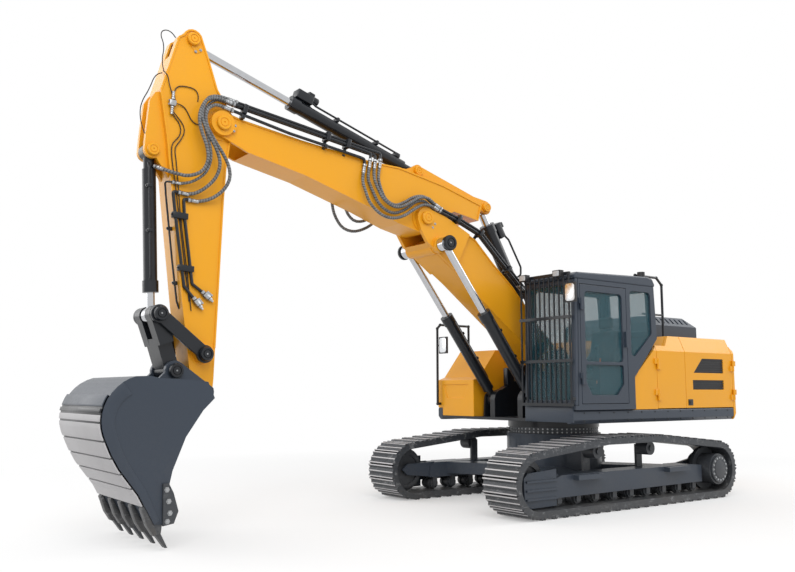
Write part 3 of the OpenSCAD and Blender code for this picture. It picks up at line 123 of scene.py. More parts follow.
def node_group(name, inputs, outputs):
    """An empty shader group with the given sockets, as (name, type, default)."""
    group = bpy.data.node_groups.new(name, "ShaderNodeTree")
    for label, kind, value in inputs:
        socket = group.interface.new_socket(label, in_out="INPUT", socket_type=kind)
        if value is not None:
            socket.default_value = value
    for label, kind in outputs:
        group.interface.new_socket(label, in_out="OUTPUT", socket_type=kind)
    return group


def add_node(tree, kind, values=None, **settings):
    """A node with its settings, and its unlinked inputs by name or number."""
    node = tree.nodes.new(kind)
    for key, value in settings.items():
        setattr(node, key, value)
    for key, value in (values or {}).items():
        node.inputs[key].default_value = value
    return node


def mix_colours(tree, share, first, second):
    """A colour mix of two colour sockets by a share socket."""
    node = add_node(tree, "ShaderNodeMix", data_type="RGBA")
    tree.links.new(share, node.inputs["Factor"])
    tree.links.new(first, node.inputs["A"])
    tree.links.new(second, node.inputs["B"])
    return node.outputs["Result"]


def math_node(tree, operation, first, second=None, clamp=False):
    """A math node on sockets or numbers."""
    node = add_node(tree, "ShaderNodeMath", operation=operation, use_clamp=clamp)
    for index, value in enumerate((first, second)):
        if value is None:
            continue
        if isinstance(value, (int, float)):
            node.inputs[index].default_value = value
        else:
            tree.links.new(value, node.inputs[index])
    return node.outputs[0]


def product(tree, first, second, clamp=False):
    """Two values multiplied."""
    return math_node(tree, "MULTIPLY", first, second, clamp)


def total(tree, first, second, clamp=False):
    """Two values added."""
    return math_node(tree, "ADD", first, second, clamp)


def ranged(tree, value, low, high, to_low=0.0, to_high=1.0):
    """A value moved from one range to another, and held there."""
    node = add_node(tree, "ShaderNodeMapRange", {1: low, 2: high, 3: to_low, 4: to_high})
    tree.links.new(value, node.inputs[0])
    return node.outputs[0]


def object_place(tree):
    """The place on the piece itself, in metres."""
    return add_node(tree, "ShaderNodeTexCoord").outputs["Object"]


def noise(tree, place, scale, detail=4.0, roughness=0.55):
    """A noise texture's value."""
    node = add_node(tree, "ShaderNodeTexNoise", {"Scale": scale, "Detail": detail, "Roughness": roughness})
    tree.links.new(place, node.inputs["Vector"])
    return node.outputs["Fac"]


def opaque(rgb):
    """A colour with full alpha."""
    return (*rgb, 1.0)


def scaled(rgb, factor):
    """A colour made darker or lighter, up to white."""
    return [min(1.0, part * factor) for part in rgb]


def flat_colour(tree, rgb):
    """One plain colour."""
    node = add_node(tree, "ShaderNodeRGB")
    node.outputs[0].default_value = opaque(rgb)
    return node.outputs[0]


def two_tone(tree, share, low, high):
    """A colour between two, by a share."""
    node = add_node(tree, "ShaderNodeValToRGB")
    node.color_ramp.elements[0].color = opaque(low)
    node.color_ramp.elements[1].color = opaque(high)
    tree.links.new(share, node.inputs["Fac"])
    return node.outputs["Color"]


def weathering_group():
    """Paint that fades a little and gathers dust low down and on what faces up."""
    group = node_group(
        "Site weathering",
        [
            ("Paint", "NodeSocketColor", (0.5, 0.5, 0.5, 1.0)),
            ("Dust", "NodeSocketColor", (0.3, 0.26, 0.21, 1.0)),
            ("Dust Height", "NodeSocketFloat", 1.0),
            ("Dust Amount", "NodeSocketFloat", 0.3),
            ("Fade", "NodeSocketFloat", 0.12),
            ("Gloss", "NodeSocketFloat", 0.35),
        ],
        [("Color", "NodeSocketColor"), ("Roughness", "NodeSocketFloat"), ("Height", "NodeSocketFloat")],
    )
    source = group.nodes.new("NodeGroupInput")
    result = group.nodes.new("NodeGroupOutput")
    place = object_place(group)
    cloudy = noise(group, place, 1.6, 5.0)
    speckle = noise(group, place, 38.0, 3.0)
    streak_place = add_node(group, "ShaderNodeMapping", {"Scale": (9.0, 9.0, 1.1)})
    group.links.new(place, streak_place.inputs["Vector"])
    streak = noise(group, streak_place.outputs["Vector"], 2.2, 4.0)

    # Fading: a slow change of brightness over the sheet
    faded = add_node(group, "ShaderNodeHueSaturation", {"Saturation": 0.92, "Value": 0.78})
    group.links.new(source.outputs["Paint"], faded.inputs["Color"])
    fade = product(group, ranged(group, cloudy, 0.35, 0.72), source.outputs["Fade"])
    fade = total(group, fade, product(group, ranged(group, streak, 0.55, 0.8), 0.06))
    paint = mix_colours(group, fade, source.outputs["Paint"], faded.outputs["Color"])

    # Dust: thick near the ground, thin on ledges, broken up by noise
    height = add_node(group, "ShaderNodeSeparateXYZ")
    group.links.new(place, height.inputs[0])
    low = math_node(group, "DIVIDE", height.outputs["Z"], source.outputs["Dust Height"])
    low = math_node(group, "SUBTRACT", 1.0, low, clamp=True)
    facing = add_node(group, "ShaderNodeSeparateXYZ")
    group.links.new(add_node(group, "ShaderNodeNewGeometry").outputs["Normal"], facing.inputs[0])
    ledge = product(group, ranged(group, facing.outputs["Z"], 0.55, 1.0), 0.45)
    spread = total(group, product(group, low, low), ledge)
    broken = product(group, ranged(group, cloudy, 0.25, 0.7), ranged(group, speckle, 0.2, 0.75))
    dust = product(group, product(group, spread, broken), source.outputs["Dust Amount"])
    group.links.new(mix_colours(group, dust, paint, source.outputs["Dust"]), result.inputs["Color"])
    rough = total(group, source.outputs["Gloss"], product(group, dust, 0.5))
    rough = total(group, rough, product(group, ranged(group, speckle, 0.3, 0.7), 0.07))
    group.links.new(rough, result.inputs["Roughness"])
    peel = noise(group, place, 210.0, 2.0)
    group.links.new(total(group, peel, product(group, dust, 2.0)), result.inputs["Height"])
    return group


def scuff_group():
    """A mask of bare metal in scuffs and on proud spots."""
    group = node_group(
        "Scuffed metal",
        [("Amount", "NodeSocketFloat", 0.3), ("Size", "NodeSocketFloat", 6.0)],
        [("Mask", "NodeSocketFloat"), ("Height", "NodeSocketFloat")],
    )
    source = group.nodes.new("NodeGroupInput")
    result = group.nodes.new("NodeGroupOutput")
    place = object_place(group)
    patches = add_node(group, "ShaderNodeTexNoise", {"Detail": 6.0, "Roughness": 0.7})
    group.links.new(place, patches.inputs["Vector"])
    group.links.new(source.outputs["Size"], patches.inputs["Scale"])
    scratch_place = add_node(
        group, "ShaderNodeMapping", {"Scale": (3.0, 30.0, 30.0), "Rotation": (0.0, 0.5, 0.3)}
    )
    group.links.new(place, scratch_place.inputs["Vector"])
    scratches = ranged(group, noise(group, scratch_place.outputs["Vector"], 3.0, 5.0), 0.62, 0.72)
    worn = total(group, ranged(group, patches.outputs["Fac"], 0.56, 0.7), scratches, clamp=True)
    mask = product(group, worn, source.outputs["Amount"], clamp=True)
    group.links.new(mask, result.inputs["Mask"])
    pits = noise(group, place, 60.0, 5.0, 0.65)
    pits = math_node(group, "SUBTRACT", pits, product(group, worn, 0.3))
    group.links.new(pits, result.inputs["Height"])
    return group


GROUPS = {}


def shared_group(name, maker):
    """A node group that is built once."""
    if name not in GROUPS:
        GROUPS[name] = maker()
    return GROUPS[name]


def place_group(tree, group, values):
    """A group node with its own values."""
    node = tree.nodes.new("ShaderNodeGroup")
    node.node_tree = group
    for key, value in values.items():
        node.inputs[key].default_value = value
    return node


def weathered(tree, rgb, gloss, dust_height, dust_amount, fade):
    """The weathering group, set for one paint."""
    return place_group(
        tree,
        shared_group("weathering", weathering_group),
        {
            "Paint": opaque(rgb), "Dust": opaque(bpy.context.scene.paint_colours.dust),
            "Dust Height": dust_height, "Dust Amount": dust_amount, "Fade": fade, "Gloss": gloss,
        },
    )


def new_material(name, **values):
    """A material with a Principled shader, its plain inputs set by name."""
    material = bpy.data.materials.new(name)
    material.use_nodes = True
    shader = material.node_tree.nodes["Principled BSDF"]
    for key, value in values.items():
        shader.inputs[key.replace("_", " ").title().replace("Ior", "IOR")].default_value = value
    return material, material.node_tree, shader


def bump(tree, shader, height, strength, distance):
    """Bump on the shader's normal."""
    node = add_node(tree, "ShaderNodeBump", {"Strength": strength, "Distance": distance})
    tree.links.new(height, node.inputs["Height"])
    tree.links.new(node.outputs["Normal"], shader.inputs["Normal"])


def painted(name, rgb, gloss, dust_height, dust_amount, fade=0.12, coat=0.14):
    """Sheet metal or plate with paint, fading and dust."""
    material, tree, shader = new_material(
        name, coat_weight=coat, coat_roughness=0.12, specular_ior_level=0.32
    )
    weather = weathered(tree, rgb, gloss, dust_height, dust_amount, fade)
    tree.links.new(weather.outputs["Color"], shader.inputs["Base Color"])
    tree.links.new(weather.outputs["Roughness"], shader.inputs["Roughness"])
    bump(tree, shader, weather.outputs["Height"], 0.08, 0.002)
    return material


# Share by which steel's own paint has faded
STEEL_FADE = 0.35


def worn_steel(name, rgb, bare_share, gloss, dust_amount, dust_height=1.2, scuff_size=6.0):
    """Dark cast or painted steel that shows bare metal where it rubs."""
    material, tree, shader = new_material(name)
    weather = weathered(tree, rgb, gloss, dust_height, dust_amount, STEEL_FADE)
    scuff = place_group(tree, shared_group("scuff", scuff_group), {"Amount": bare_share, "Size": scuff_size})
    bare = flat_colour(tree, bpy.context.scene.paint_colours.bare_steel)
    mixed = mix_colours(tree, scuff.outputs["Mask"], weather.outputs["Color"], bare)
    tree.links.new(mixed, shader.inputs["Base Color"])
    tree.links.new(scuff.outputs["Mask"], shader.inputs["Metallic"])
    tree.links.new(weather.outputs["Roughness"], shader.inputs["Roughness"])
    bump(tree, shader, scuff.outputs["Height"], 0.25, 0.003)
    return material


def polished(name, rgb, gloss, grain):
    """Bare metal with fine grain."""
    material, tree, shader = new_material(name, metallic=1.0)
    place = object_place(tree)
    tint = two_tone(tree, noise(tree, place, grain, 3.0), scaled(rgb, 0.82), rgb)
    tree.links.new(tint, shader.inputs["Base Color"])
    fine = noise(tree, place, grain * 6.0, 3.0)
    tree.links.new(ranged(tree, fine, 0.3, 0.7, gloss * 0.75, gloss * 1.25), shader.inputs["Roughness"])
    bump(tree, shader, fine, 0.05, 0.001)
    return material


def moulded(name, rgb, gloss, grain=160.0):
    """Moulded plastic or rubber with a fine texture."""
    material, tree, shader = new_material(name)
    place = object_place(tree)
    tint = two_tone(tree, noise(tree, place, 5.0, 4.0), scaled(rgb, 0.7), scaled(rgb, 1.25))
    tree.links.new(tint, shader.inputs["Base Color"])
    grains = noise(tree, place, grain, 2.0)
    tree.links.new(ranged(tree, grains, 0.3, 0.7, gloss * 0.85, gloss * 1.15), shader.inputs["Roughness"])
    bump(tree, shader, grains, 0.15, 0.0015)
    return material


def tinted_glass(name, rgb):
    """Clear window glass with a light tint and a little dust."""
    material, tree, shader = new_material(name, roughness=0.03, ior=1.45, alpha=0.34, specular_ior_level=0.7)
    film = ranged(tree, noise(tree, object_place(tree), 3.0, 5.0), 0.45, 0.8, 0.0, 0.12)
    clean = flat_colour(tree, scaled(rgb, 0.26))
    dusty = flat_colour(tree, bpy.context.scene.paint_colours.dust)
    tree.links.new(mix_colours(tree, film, clean, dusty), shader.inputs["Base Color"])
    tree.links.new(ranged(tree, film, 0.0, 0.25, 0.02, 0.09), shader.inputs["Roughness"])
    return material


# Distance from one turn of a hose's guard to the next
WRAP_PITCH = 0.034


def spiral_wrapped(name, guard_rgb, gap_rgb):
    """A hose in a spiral guard, wound along the tube's own map."""
    material, tree, shader = new_material(name, roughness=0.5)
    wrap = add_node(tree, "ShaderNodeSeparateXYZ")
    tree.links.new(add_node(tree, "ShaderNodeUVMap", uv_map="Wrap").outputs["UV"], wrap.inputs[0])
    turns = math_node(tree, "DIVIDE", wrap.outputs["Y"], WRAP_PITCH)
    phase = math_node(tree, "FRACT", total(tree, turns, wrap.outputs["X"]))
    rise = product(tree, ranged(tree, phase, 0.0, 0.14), ranged(tree, phase, 0.72, 0.86, 1.0, 0.0))
    grime = ranged(tree, noise(tree, object_place(tree), 14.0, 4.0), 0.3, 0.75, 0.55, 1.15)
    guard = add_node(tree, "ShaderNodeHueSaturation", {"Color": opaque(guard_rgb)})
    tree.links.new(grime, guard.inputs["Value"])
    wound = mix_colours(tree, rise, flat_colour(tree, gap_rgb), guard.outputs["Color"])
    tree.links.new(wound, shader.inputs["Base Color"])
    bump(tree, shader, rise, 0.5, 0.004)
    return material


def woven(name, rgb):
    """Seat cloth with a plain weave."""
    material, tree, shader = new_material(name, roughness=0.9, sheen_weight=0.3)
    place = object_place(tree)
    waves = []
    for direction in ("X", "Z"):
        wave = add_node(
            tree, "ShaderNodeTexWave", {"Scale": 90.0, "Distortion": 0.6}, bands_direction=direction
        )
        tree.links.new(place, wave.inputs["Vector"])
        waves.append(wave.outputs["Fac"])
    weave = product(tree, *waves)
    tint = two_tone(tree, weave, scaled(rgb, 0.5), scaled(rgb, 1.5))
    tree.links.new(tint, shader.inputs["Base Color"])
    bump(tree, shader, weave, 0.3, 0.002)
    return material


MATERIALS = {}


def make_materials():
    """Every finish, by the record's slot names and by the scene's own."""
    colours = bpy.context.scene.paint_colours
    dark = colours.undercarriage
    MATERIALS.update(
        yellow_paint=painted("Yellow paint", colours.yellow, 0.33, 1.9, 0.16),
        slate_paint=painted("Slate paint", colours.slate, 0.38, 1.9, 0.16, 0.2),
        black_paint=painted("Black paint", colours.black, 0.30, 2.2, 0.10, 0.2, 0.20),
        dark_steel=worn_steel("Undercarriage steel", dark, 0.12, 0.42, 0.22, 1.1),
        track_steel=worn_steel("Track steel", scaled(dark, 0.9), 0.45, 0.42, 0.22, 1.0, 9.0),
        tooth_steel=worn_steel("Tooth steel", (0.05, 0.052, 0.056), 0.45, 0.42, 0.3, 1.0, 12.0),
        bright_steel=polished("Machined steel", colours.bare_steel, 0.36, 9.0),
        wear_steel=worn_steel("Wear plate steel", (0.52, 0.51, 0.52), 0.15, 0.5, 0.15, 1.2, 10.0),
        chrome=polished("Chrome rod", (0.56, 0.57, 0.59), 0.16, 14.0),
        glass=tinted_glass("Window glass", colours.glass),
        seat_cloth=woven("Seat cloth", (0.035, 0.036, 0.04)),
        black_plastic=moulded("Black plastic", (0.016, 0.016, 0.018), 0.5),
        rubber=moulded("Rubber", (0.012, 0.012, 0.013), 0.62, 90.0),
        hose_wrap=spiral_wrapped("Wrapped hose", (0.20, 0.205, 0.21), (0.035, 0.036, 0.038)),
        orange_plastic=moulded("Orange plastic", (0.75, 0.16, 0.01), 0.4),
        lamp_lens=moulded("Lamp lens", (0.50, 0.52, 0.54), 0.18, 60.0),
        mirror_face=polished("Mirror face", (0.80, 0.82, 0.84), 0.32, 4.0),
    )


# The record's slot for each finish that has none of its own name
SLOT_OF = {part["node"]: part["material_slot"] for part in frame["record"]["subparts"]}
# Solids whose finish isn't that of their own slot
NODE_FINISH = {
    "track_left": "track_steel",
    "track_right": "track_steel",
    "track_frame_left": "slate_paint",
    "track_frame_right": "slate_paint",
    "carbody": "slate_paint",
    "swing_bearing": "dark_steel",
}


# Small modelling helpers

SIDES = (1.0, -1.0)
LEFT = Vector((0.0, 1.0, 0.0))
UP = Vector((0.0, 0.0, 1.0))
FORWARD = Vector((1.0, 0.0, 0.0))
# How deep a bolt or cover is let into what it sits on
SUNK = 0.001
# Points closer than this are one point
SAME_POINT = 0.00005


def only(obj):
    """Selects one object alone and makes it active."""
    bpy.ops.object.select_all(action="DESELECT")
    obj.select_set(True)
    bpy.context.view_layer.objects.active = obj


def linked(data):
    """A new object of a mesh or curve, selected alone."""
    piece = bpy.data.objects.new(data.name, data)
    bpy.context.collection.objects.link(piece)
    only(piece)
    return piece


def edit_all():
    """Opens the active mesh for editing, with all of it selected."""
    bpy.ops.object.mode_set(mode="EDIT")
    bpy.ops.mesh.select_all(action="SELECT")


def smoothed(piece):
    """Ends the editing of a piece, and shades it smooth between its sharp edges."""
    bpy.ops.object.mode_set(mode="OBJECT")
    bpy.ops.object.shade_smooth_by_angle(angle=math.radians(35.0))
    return piece


def placed(piece, matrix):
    """Moves a piece's mesh by a matrix."""
    piece.data.transform(matrix)
    return piece


def dress(obj, material):
    """Puts one material on a whole piece."""
    obj.data.materials.clear()
    obj.data.materials.append(MATERIALS[material])


def soften(node, width):
    """Live modifiers that close a node's loose triangles, and round its edges."""
    obj = NODES[node]
    weld = obj.modifiers.new("Weld", "WELD")
    weld.merge_threshold = SAME_POINT
    flats = obj.modifiers.new("Flats", "DECIMATE")
    flats.decimate_type = "DISSOLVE"
    flats.angle_limit = math.radians(1.0)
    edges = obj.modifiers.new("Edges", "BEVEL")
    edges.width = width
    edges.segments = 2
    edges.limit_method = "ANGLE"
    edges.angle_limit = math.radians(38.0)
    edges.use_clamp_overlap = True
    shading = obj.modifiers.new("Shading", "WEIGHTED_NORMAL")
    shading.keep_sharp = True


def settle(piece, name, body, material):
    """Names a finished piece, gives it its finish and lets it ride on a body."""
    piece.name = name
    dress(piece, material)
    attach(piece, body)
    return piece


def turned(profile, sides=24):
    """A solid turned about Z from its profile, as (radius, height) from one end of the axis to the other."""
    mesh = bpy.data.meshes.new("turned")
    mesh.from_pydata(
        [(radius, 0.0, height) for radius, height in profile],
        [(index, index + 1) for index in range(len(profile) - 1)],
        [],
    )
    piece = linked(mesh)
    edit_all()
    bpy.ops.mesh.spin(steps=sides, angle=2.0 * math.pi, center=(0.0, 0.0, 0.0), axis=UP)
    bpy.ops.mesh.select_all(action="SELECT")
    bpy.ops.mesh.remove_doubles(threshold=0.00002)
    bpy.ops.mesh.normals_make_consistent(inside=False)
    return smoothed(piece)


def block(size, bevel=0.006, segments=2):
    """A block about the origin with rounded edges."""
    bpy.ops.object.select_all(action="DESELECT")
    bpy.ops.mesh.primitive_cube_add(size=1.0)
    piece = bpy.context.object
    edit_all()
    bpy.ops.transform.resize(value=size)
    bpy.ops.mesh.bevel(offset=bevel, segments=segments, affect="EDGES")
    return smoothed(piece)


def block_at(place, size, bevel):
    """A block about a place."""
    return placed(block(size, bevel), Matrix.Translation(place))


def plate(outline, thickness, bevel=0.003):
    """A plate with its outline in the XY plane, from Z 0 up, its rims rounded."""
    mesh = bpy.data.meshes.new("plate")
    mesh.from_pydata([(x, y, 0.0) for x, y in outline], [], [range(len(outline))])
    piece = linked(mesh)
    edit_all()
    bpy.ops.mesh.extrude_region_move(TRANSFORM_OT_translate={"value": (0.0, 0.0, thickness)})
    bpy.ops.mesh.select_all(action="SELECT")
    bpy.ops.mesh.normals_make_consistent(inside=False)
    bpy.ops.mesh.bevel(offset=bevel, segments=2, affect="EDGES")
    return smoothed(piece)


def joined(pieces):
    """Several pieces as one."""
    bpy.ops.object.select_all(action="DESELECT")
    for piece in pieces:
        piece.select_set(True)
    bpy.context.view_layer.objects.active = pieces[0]
    if len(pieces) > 1:
        bpy.ops.object.join()
    return bpy.context.view_layer.objects.active


def stamped(pattern, places):
    """One piece of copies of a pattern, each set by a matrix. The pattern itself goes."""
    copies = []
    for place in places:
        copy = bpy.data.objects.new("copy", pattern.data.copy())
        bpy.context.collection.objects.link(copy)
        copy.data.transform(place)
        copies.append(copy)
    bpy.data.objects.remove(pattern)
    return joined(copies)


def aimed(place, direction, turn=0.0):
    """A matrix that sets a pattern's Z axis along a direction at a place."""
    facing = Vector(direction).to_track_quat("Z", "Y").to_matrix().to_4x4()
    return Matrix.Translation(place) @ facing @ Matrix.Rotation(turn, 4, "Z")


def laid(place, along, up):
    """A matrix that sets a pattern's X axis along a direction and its Z axis upwards from it."""
    x_axis = Vector(along).normalized()
    y_axis = Vector(up).cross(x_axis).normalized()
    z_axis = x_axis.cross(y_axis)
    turn = Matrix((x_axis, y_axis, z_axis)).transposed().to_4x4()
    return Matrix.Translation(place) @ turn


# Pipes and hoses


def bent_route(points, bend, steps=6):
    """Straight runs with round bends, as a bent pipe has."""
    points = [Vector(point) for point in points]
    route = [points[0]]
    for before, corner, after in zip(points, points[1:], points[2:]):
        back = (before - corner).normalized()
        on = (after - corner).normalized()
        room = 0.48 * min((before - corner).length, (after - corner).length)
        reach = min(bend / math.tan(back.angle(on) / 2), room)
        start = corner + reach * back
        end = corner + reach * on
        for step in range(steps + 1):
            share = step / steps
            route.append(start.lerp(corner, share).lerp(corner.lerp(end, share), share))
    route.append(points[-1])
    return route


def curved_route(points, count=32):
    """Evenly spaced points on one smooth curve through the given points."""
    points = [Vector(point) for point in points]
    padded = [2 * points[0] - points[1], *points, 2 * points[-1] - points[-2]]
    fine = []
    for before, start, end, after in zip(padded, padded[1:], padded[2:], padded[3:]):
        span = (end - start).length
        leave = (end - before) * span / ((end - start).length + (start - before).length)
        arrive = (after - start) * span / ((after - end).length + (end - start).length)
        for step in range(20):
            t = step / 20
            fine.append(
                (2 * t ** 3 - 3 * t ** 2 + 1) * start + (t ** 3 - 2 * t ** 2 + t) * leave
                + (3 * t ** 2 - 2 * t ** 3) * end + (t ** 3 - t ** 2) * arrive
            )
    fine.append(points[-1])
    return evenly_spaced(fine, count)


def evenly_spaced(points, count):
    """The same line with its points the same distance apart."""
    reached = [0.0]
    for start, end in zip(points, points[1:]):
        reached.append(reached[-1] + (end - start).length)
    route = []
    index = 0
    for step in range(count):
        goal = reached[-1] * step / (count - 1)
        while index < len(points) - 2 and reached[index + 1] < goal:
            index += 1
        span = reached[index + 1] - reached[index]
        route.append(points[index].lerp(points[index + 1], (goal - reached[index]) / span))
    return route


def tube(route, diameter, sides=12):
    """A round tube along a line of points, with closed ends and a wrap map round it."""
    curve = bpy.data.curves.new("tube", "CURVE")
    curve.dimensions = "3D"
    curve.bevel_depth = diameter / 2
    curve.bevel_resolution = (sides - 4) // 2
    curve.use_fill_caps = True
    spline = curve.splines.new("POLY")
    spline.points.add(len(route) - 1)
    for point, place in zip(spline.points, route):
        point.co = (*place, 1.0)
    linked(curve)
    bpy.ops.object.convert(target="MESH")
    piece = bpy.context.object
    bpy.ops.object.shade_smooth_by_angle(angle=math.radians(50.0))
    wrap_map(piece.data, route, sides)
    return piece


def wrap_map(mesh, route, sides):
    """A map whose X runs once round the tube, and whose Y is the distance along it."""
    reached = [0.0]
    for start, end in zip(route, route[1:]):
        reached.append(reached[-1] + (end - start).length)
    layer = mesh.uv_layers.get("Wrap") or mesh.uv_layers.new(name="Wrap")
    for face in mesh.polygons:
        columns = [mesh.loops[loop].vertex_index % sides for loop in face.loop_indices]
        over_seam = 0 in columns and sides - 1 in columns
        for loop, column in zip(face.loop_indices, columns):
            ring = min(mesh.loops[loop].vertex_index // sides, len(reached) - 1)
            round_share = (sides if over_seam and column == 0 else column) / sides
            layer.data[loop].uv = (round_share, reached[ring])


# Places on the machine


def places_along(start, along):
    """Gives places from a pin: so far along a member, across it (up or forwards) and to the left."""
    along = Vector(along).normalized()
    across = Vector((-along.z, 0.0, along.x))

    def place(s, n, y):
        return start + s * along + n * across + Vector((0.0, y, 0.0))

    place.along = along
    place.across = across
    return place


on_base_boom = places_along(JOINT_AT["boom"], JOINT_AT["front_boom"] - JOINT_AT["boom"])
on_front_boom = places_along(JOINT_AT["front_boom"], JOINT_AT["stick"] - JOINT_AT["front_boom"])
on_stick = places_along(JOINT_AT["stick"], JOINT_AT["bucket"] - JOINT_AT["stick"])
# Places on each body that carries pipes, hoses or valves
PLACES_ON = {
    "base_boom": on_base_boom,
    "front_boom": on_front_boom,
    "stick": on_stick,
    "boom_barrels": places_along(JOINT_AT["boom_barrels"], JOINT_AXIS["boom_rods"]),
    "adjust_barrel": places_along(JOINT_AT["adjust_barrel"], JOINT_AXIS["adjust_rod"]),
    "arm_barrel": places_along(JOINT_AT["arm_barrel"], JOINT_AXIS["arm_rod"]),
    "bucket_barrel": places_along(JOINT_AT["bucket_barrel"], JOINT_AXIS["bucket_rod"]),
    "upper": places_along(Vector((0.0, 0.0, 0.0)), FORWARD),
}


# Pipes clamped to the arm: body, diameter, bend radius, and points along each
PIPE_RUNS = (
    ("front_boom", 0.038, 0.05, (
        ((2.99, 0.272, 0.210), (2.26, 0.360, 0.210), (1.10, 0.497, 0.210), (0.985, 0.512, 0.246),
         (0.97, 0.450, 0.247)),
        ((2.99, 0.272, 0.256), (2.26, 0.360, 0.256), (1.12, 0.495, 0.256), (1.060, 0.500, 0.250),
         (1.045, 0.430, 0.246)),
        ((2.96, 0.318, 0.232), (2.26, 0.404, 0.232), (1.20, 0.530, 0.232), (0.910, 0.566, 0.246),
         (0.895, 0.490, 0.247)),
        ((2.99, 0.188, 0.256), (2.23, 0.246, 0.256), (1.20, 0.384, 0.250), (1.120, 0.392, 0.240),
         (1.105, 0.330, 0.236)),
    )),
    ("base_boom", 0.036, 0.09, tuple(
        ((3.02, 0.222 + rise, y), (2.70, 0.345 + rise, y), (2.30, 0.465 + rise, y), (1.85, 0.425 + rise, y),
         (1.30, 0.385 + rise, y))
        for rise in (0.0, 0.044) for y in (0.252, 0.296)
    )),
    ("stick", 0.036, 0.035, (
        ((0.900, 0.450, 0.192), (0.900, 0.508, 0.192), (1.160, 0.458, 0.192), (1.937, 0.293, 0.192),
         (2.030, 0.200, 0.192), (2.065, 0.165, 0.192)),
        ((0.965, 0.330, 0.192), (0.965, 0.378, 0.192), (1.160, 0.352, 0.192), (1.902, 0.201, 0.192),
         (1.960, 0.105, 0.192), (1.985, 0.064, 0.192)),
    )),
    ("stick", 0.022, 0.030, (
        ((0.800, 0.530, 0.197), (0.800, 0.600, 0.170), (0.930, 0.560, 0.120), (1.663, 0.408, 0.080),
         (2.100, 0.318, 0.080), (2.180, 0.282, 0.080)),
    )),
    ("arm_barrel", 0.026, 0.05, (
        ((0.30, 0.080, 0.055), (0.36, 0.112, 0.055), (1.70, 0.112, 0.055), (1.80, 0.150, 0.050)),
        ((0.34, 0.080, -0.055), (0.40, 0.112, -0.055), (1.70, 0.112, -0.055), (1.80, 0.150, -0.050)),
    )),
    ("bucket_barrel", 0.026, 0.05, (
        ((0.14, 0.030, 0.065), (0.20, 0.030, 0.094), (1.40, 0.030, 0.094), (1.47, 0.030, 0.060)),
    )),
    ("adjust_barrel", 0.030, 0.06, (
        ((1.200, 0.180, 0.060), (1.080, 0.240, 0.060), (0.620, 0.250, 0.060), (0.520, 0.190, 0.060),
         (0.520, 0.075, 0.060)),
        ((1.30, 0.090, -0.060), (1.20, 0.120, -0.060), (0.30, 0.120, -0.060), (0.22, 0.075, -0.060)),
    )),
    ("boom_barrels", 0.026, 0.05, (
        ((0.30, 0.070, 0.400), (0.36, 0.100, 0.400), (1.38, 0.100, 0.400), (1.45, 0.070, 0.400)),
        ((0.30, 0.070, -0.400), (0.36, 0.100, -0.400), (1.38, 0.100, -0.400), (1.45, 0.070, -0.400)),
    )),
)

# Clamp blocks that hold the pipes: body, and for each where it is and its size along, sideways and across
CLAMP_BLOCKS = (
    ("front_boom", (
        ((2.86, 0.270, 0.244), (0.055, 0.098, 0.120)),
        ((2.86, 0.190, 0.212), (0.045, 0.030, 0.100)),
        ((1.72, 0.440, 0.230), (0.055, 0.125, 0.120)),
        ((1.72, 0.345, 0.205), (0.045, 0.030, 0.150)),
        ((1.42, 0.475, 0.230), (0.055, 0.125, 0.120)),
        ((1.42, 0.385, 0.205), (0.045, 0.030, 0.150)),
        ((2.86, 0.172, 0.246), (0.045, 0.070, 0.055)),
        ((1.72, 0.305, 0.246), (0.045, 0.070, 0.055)),
    )),
    ("base_boom", (
        ((2.72, 0.360, 0.270), (0.050, 0.140, 0.130)),
        ((2.30, 0.485, 0.275), (0.050, 0.130, 0.110)),
        ((2.30, 0.430, 0.215), (0.040, 0.030, 0.110)),
        ((1.60, 0.425, 0.275), (0.050, 0.130, 0.110)),
        ((1.60, 0.375, 0.215), (0.040, 0.030, 0.110)),
        ((2.72, 0.310, 0.215), (0.040, 0.030, 0.080)),
    )),
    ("stick", (
        ((1.160, 0.405, 0.190), (0.070, 0.062, 0.180)),
        ((1.740, 0.288, 0.190), (0.070, 0.062, 0.180)),
        ((1.300, 0.455, 0.080), (0.040, 0.050, 0.080)),
        ((1.900, 0.340, 0.080), (0.040, 0.050, 0.080)),
    )),
    ("bucket_barrel", (
        ((0.400, 0.030, 0.085), (0.040, 0.060, 0.060)),
        ((0.900, 0.030, 0.085), (0.040, 0.060, 0.060)),
    )),
    ("arm_barrel", (
        ((0.700, 0.100, 0.000), (0.040, 0.160, 0.060)),
        ((1.350, 0.100, 0.000), (0.040, 0.160, 0.060)),
    )),
    ("boom_barrels", (
        ((0.700, 0.092, 0.400), (0.040, 0.060, 0.055)),
        ((1.150, 0.092, 0.400), (0.040, 0.060, 0.055)),
        ((0.700, 0.092, -0.400), (0.040, 0.060, 0.055)),
        ((1.150, 0.092, -0.400), (0.040, 0.060, 0.055)),
    )),
)


class EXCAVATOR_OT_pipes(bpy.types.Operator):
    """Steel pipes along the arm and the cylinders, with their clamps"""

    bl_idname = "excavator.pipes"
    bl_label = "Lay the pipes"

    def execute(self, context):
        for number, (body, diameter, bend, runs) in enumerate(PIPE_RUNS, 1):
            place = PLACES_ON[body]
            pipes = []
            for points in runs:
                route = bent_route([place(*point) for point in points], bend)
                pipes.append(tube(route, diameter))
            settle(joined(pipes), f"pipes_{body}_{number}", body, "black_paint")
        for body, clamps in CLAMP_BLOCKS:
            place = PLACES_ON[body]
            pieces = []
            for where, size in clamps:
                pieces.append(placed(block(size, 0.008), laid(place(*where), place.along, place.across)))
                top = place(where[0], where[1] + size[2] / 2 - SUNK, where[2])
                pieces.append(placed(bolt(CLAMP_BOLT), aimed(top, place.across)))
            settle(joined(pieces), f"clamps_{body}", body, "black_paint")
        return {"FINISHED"}


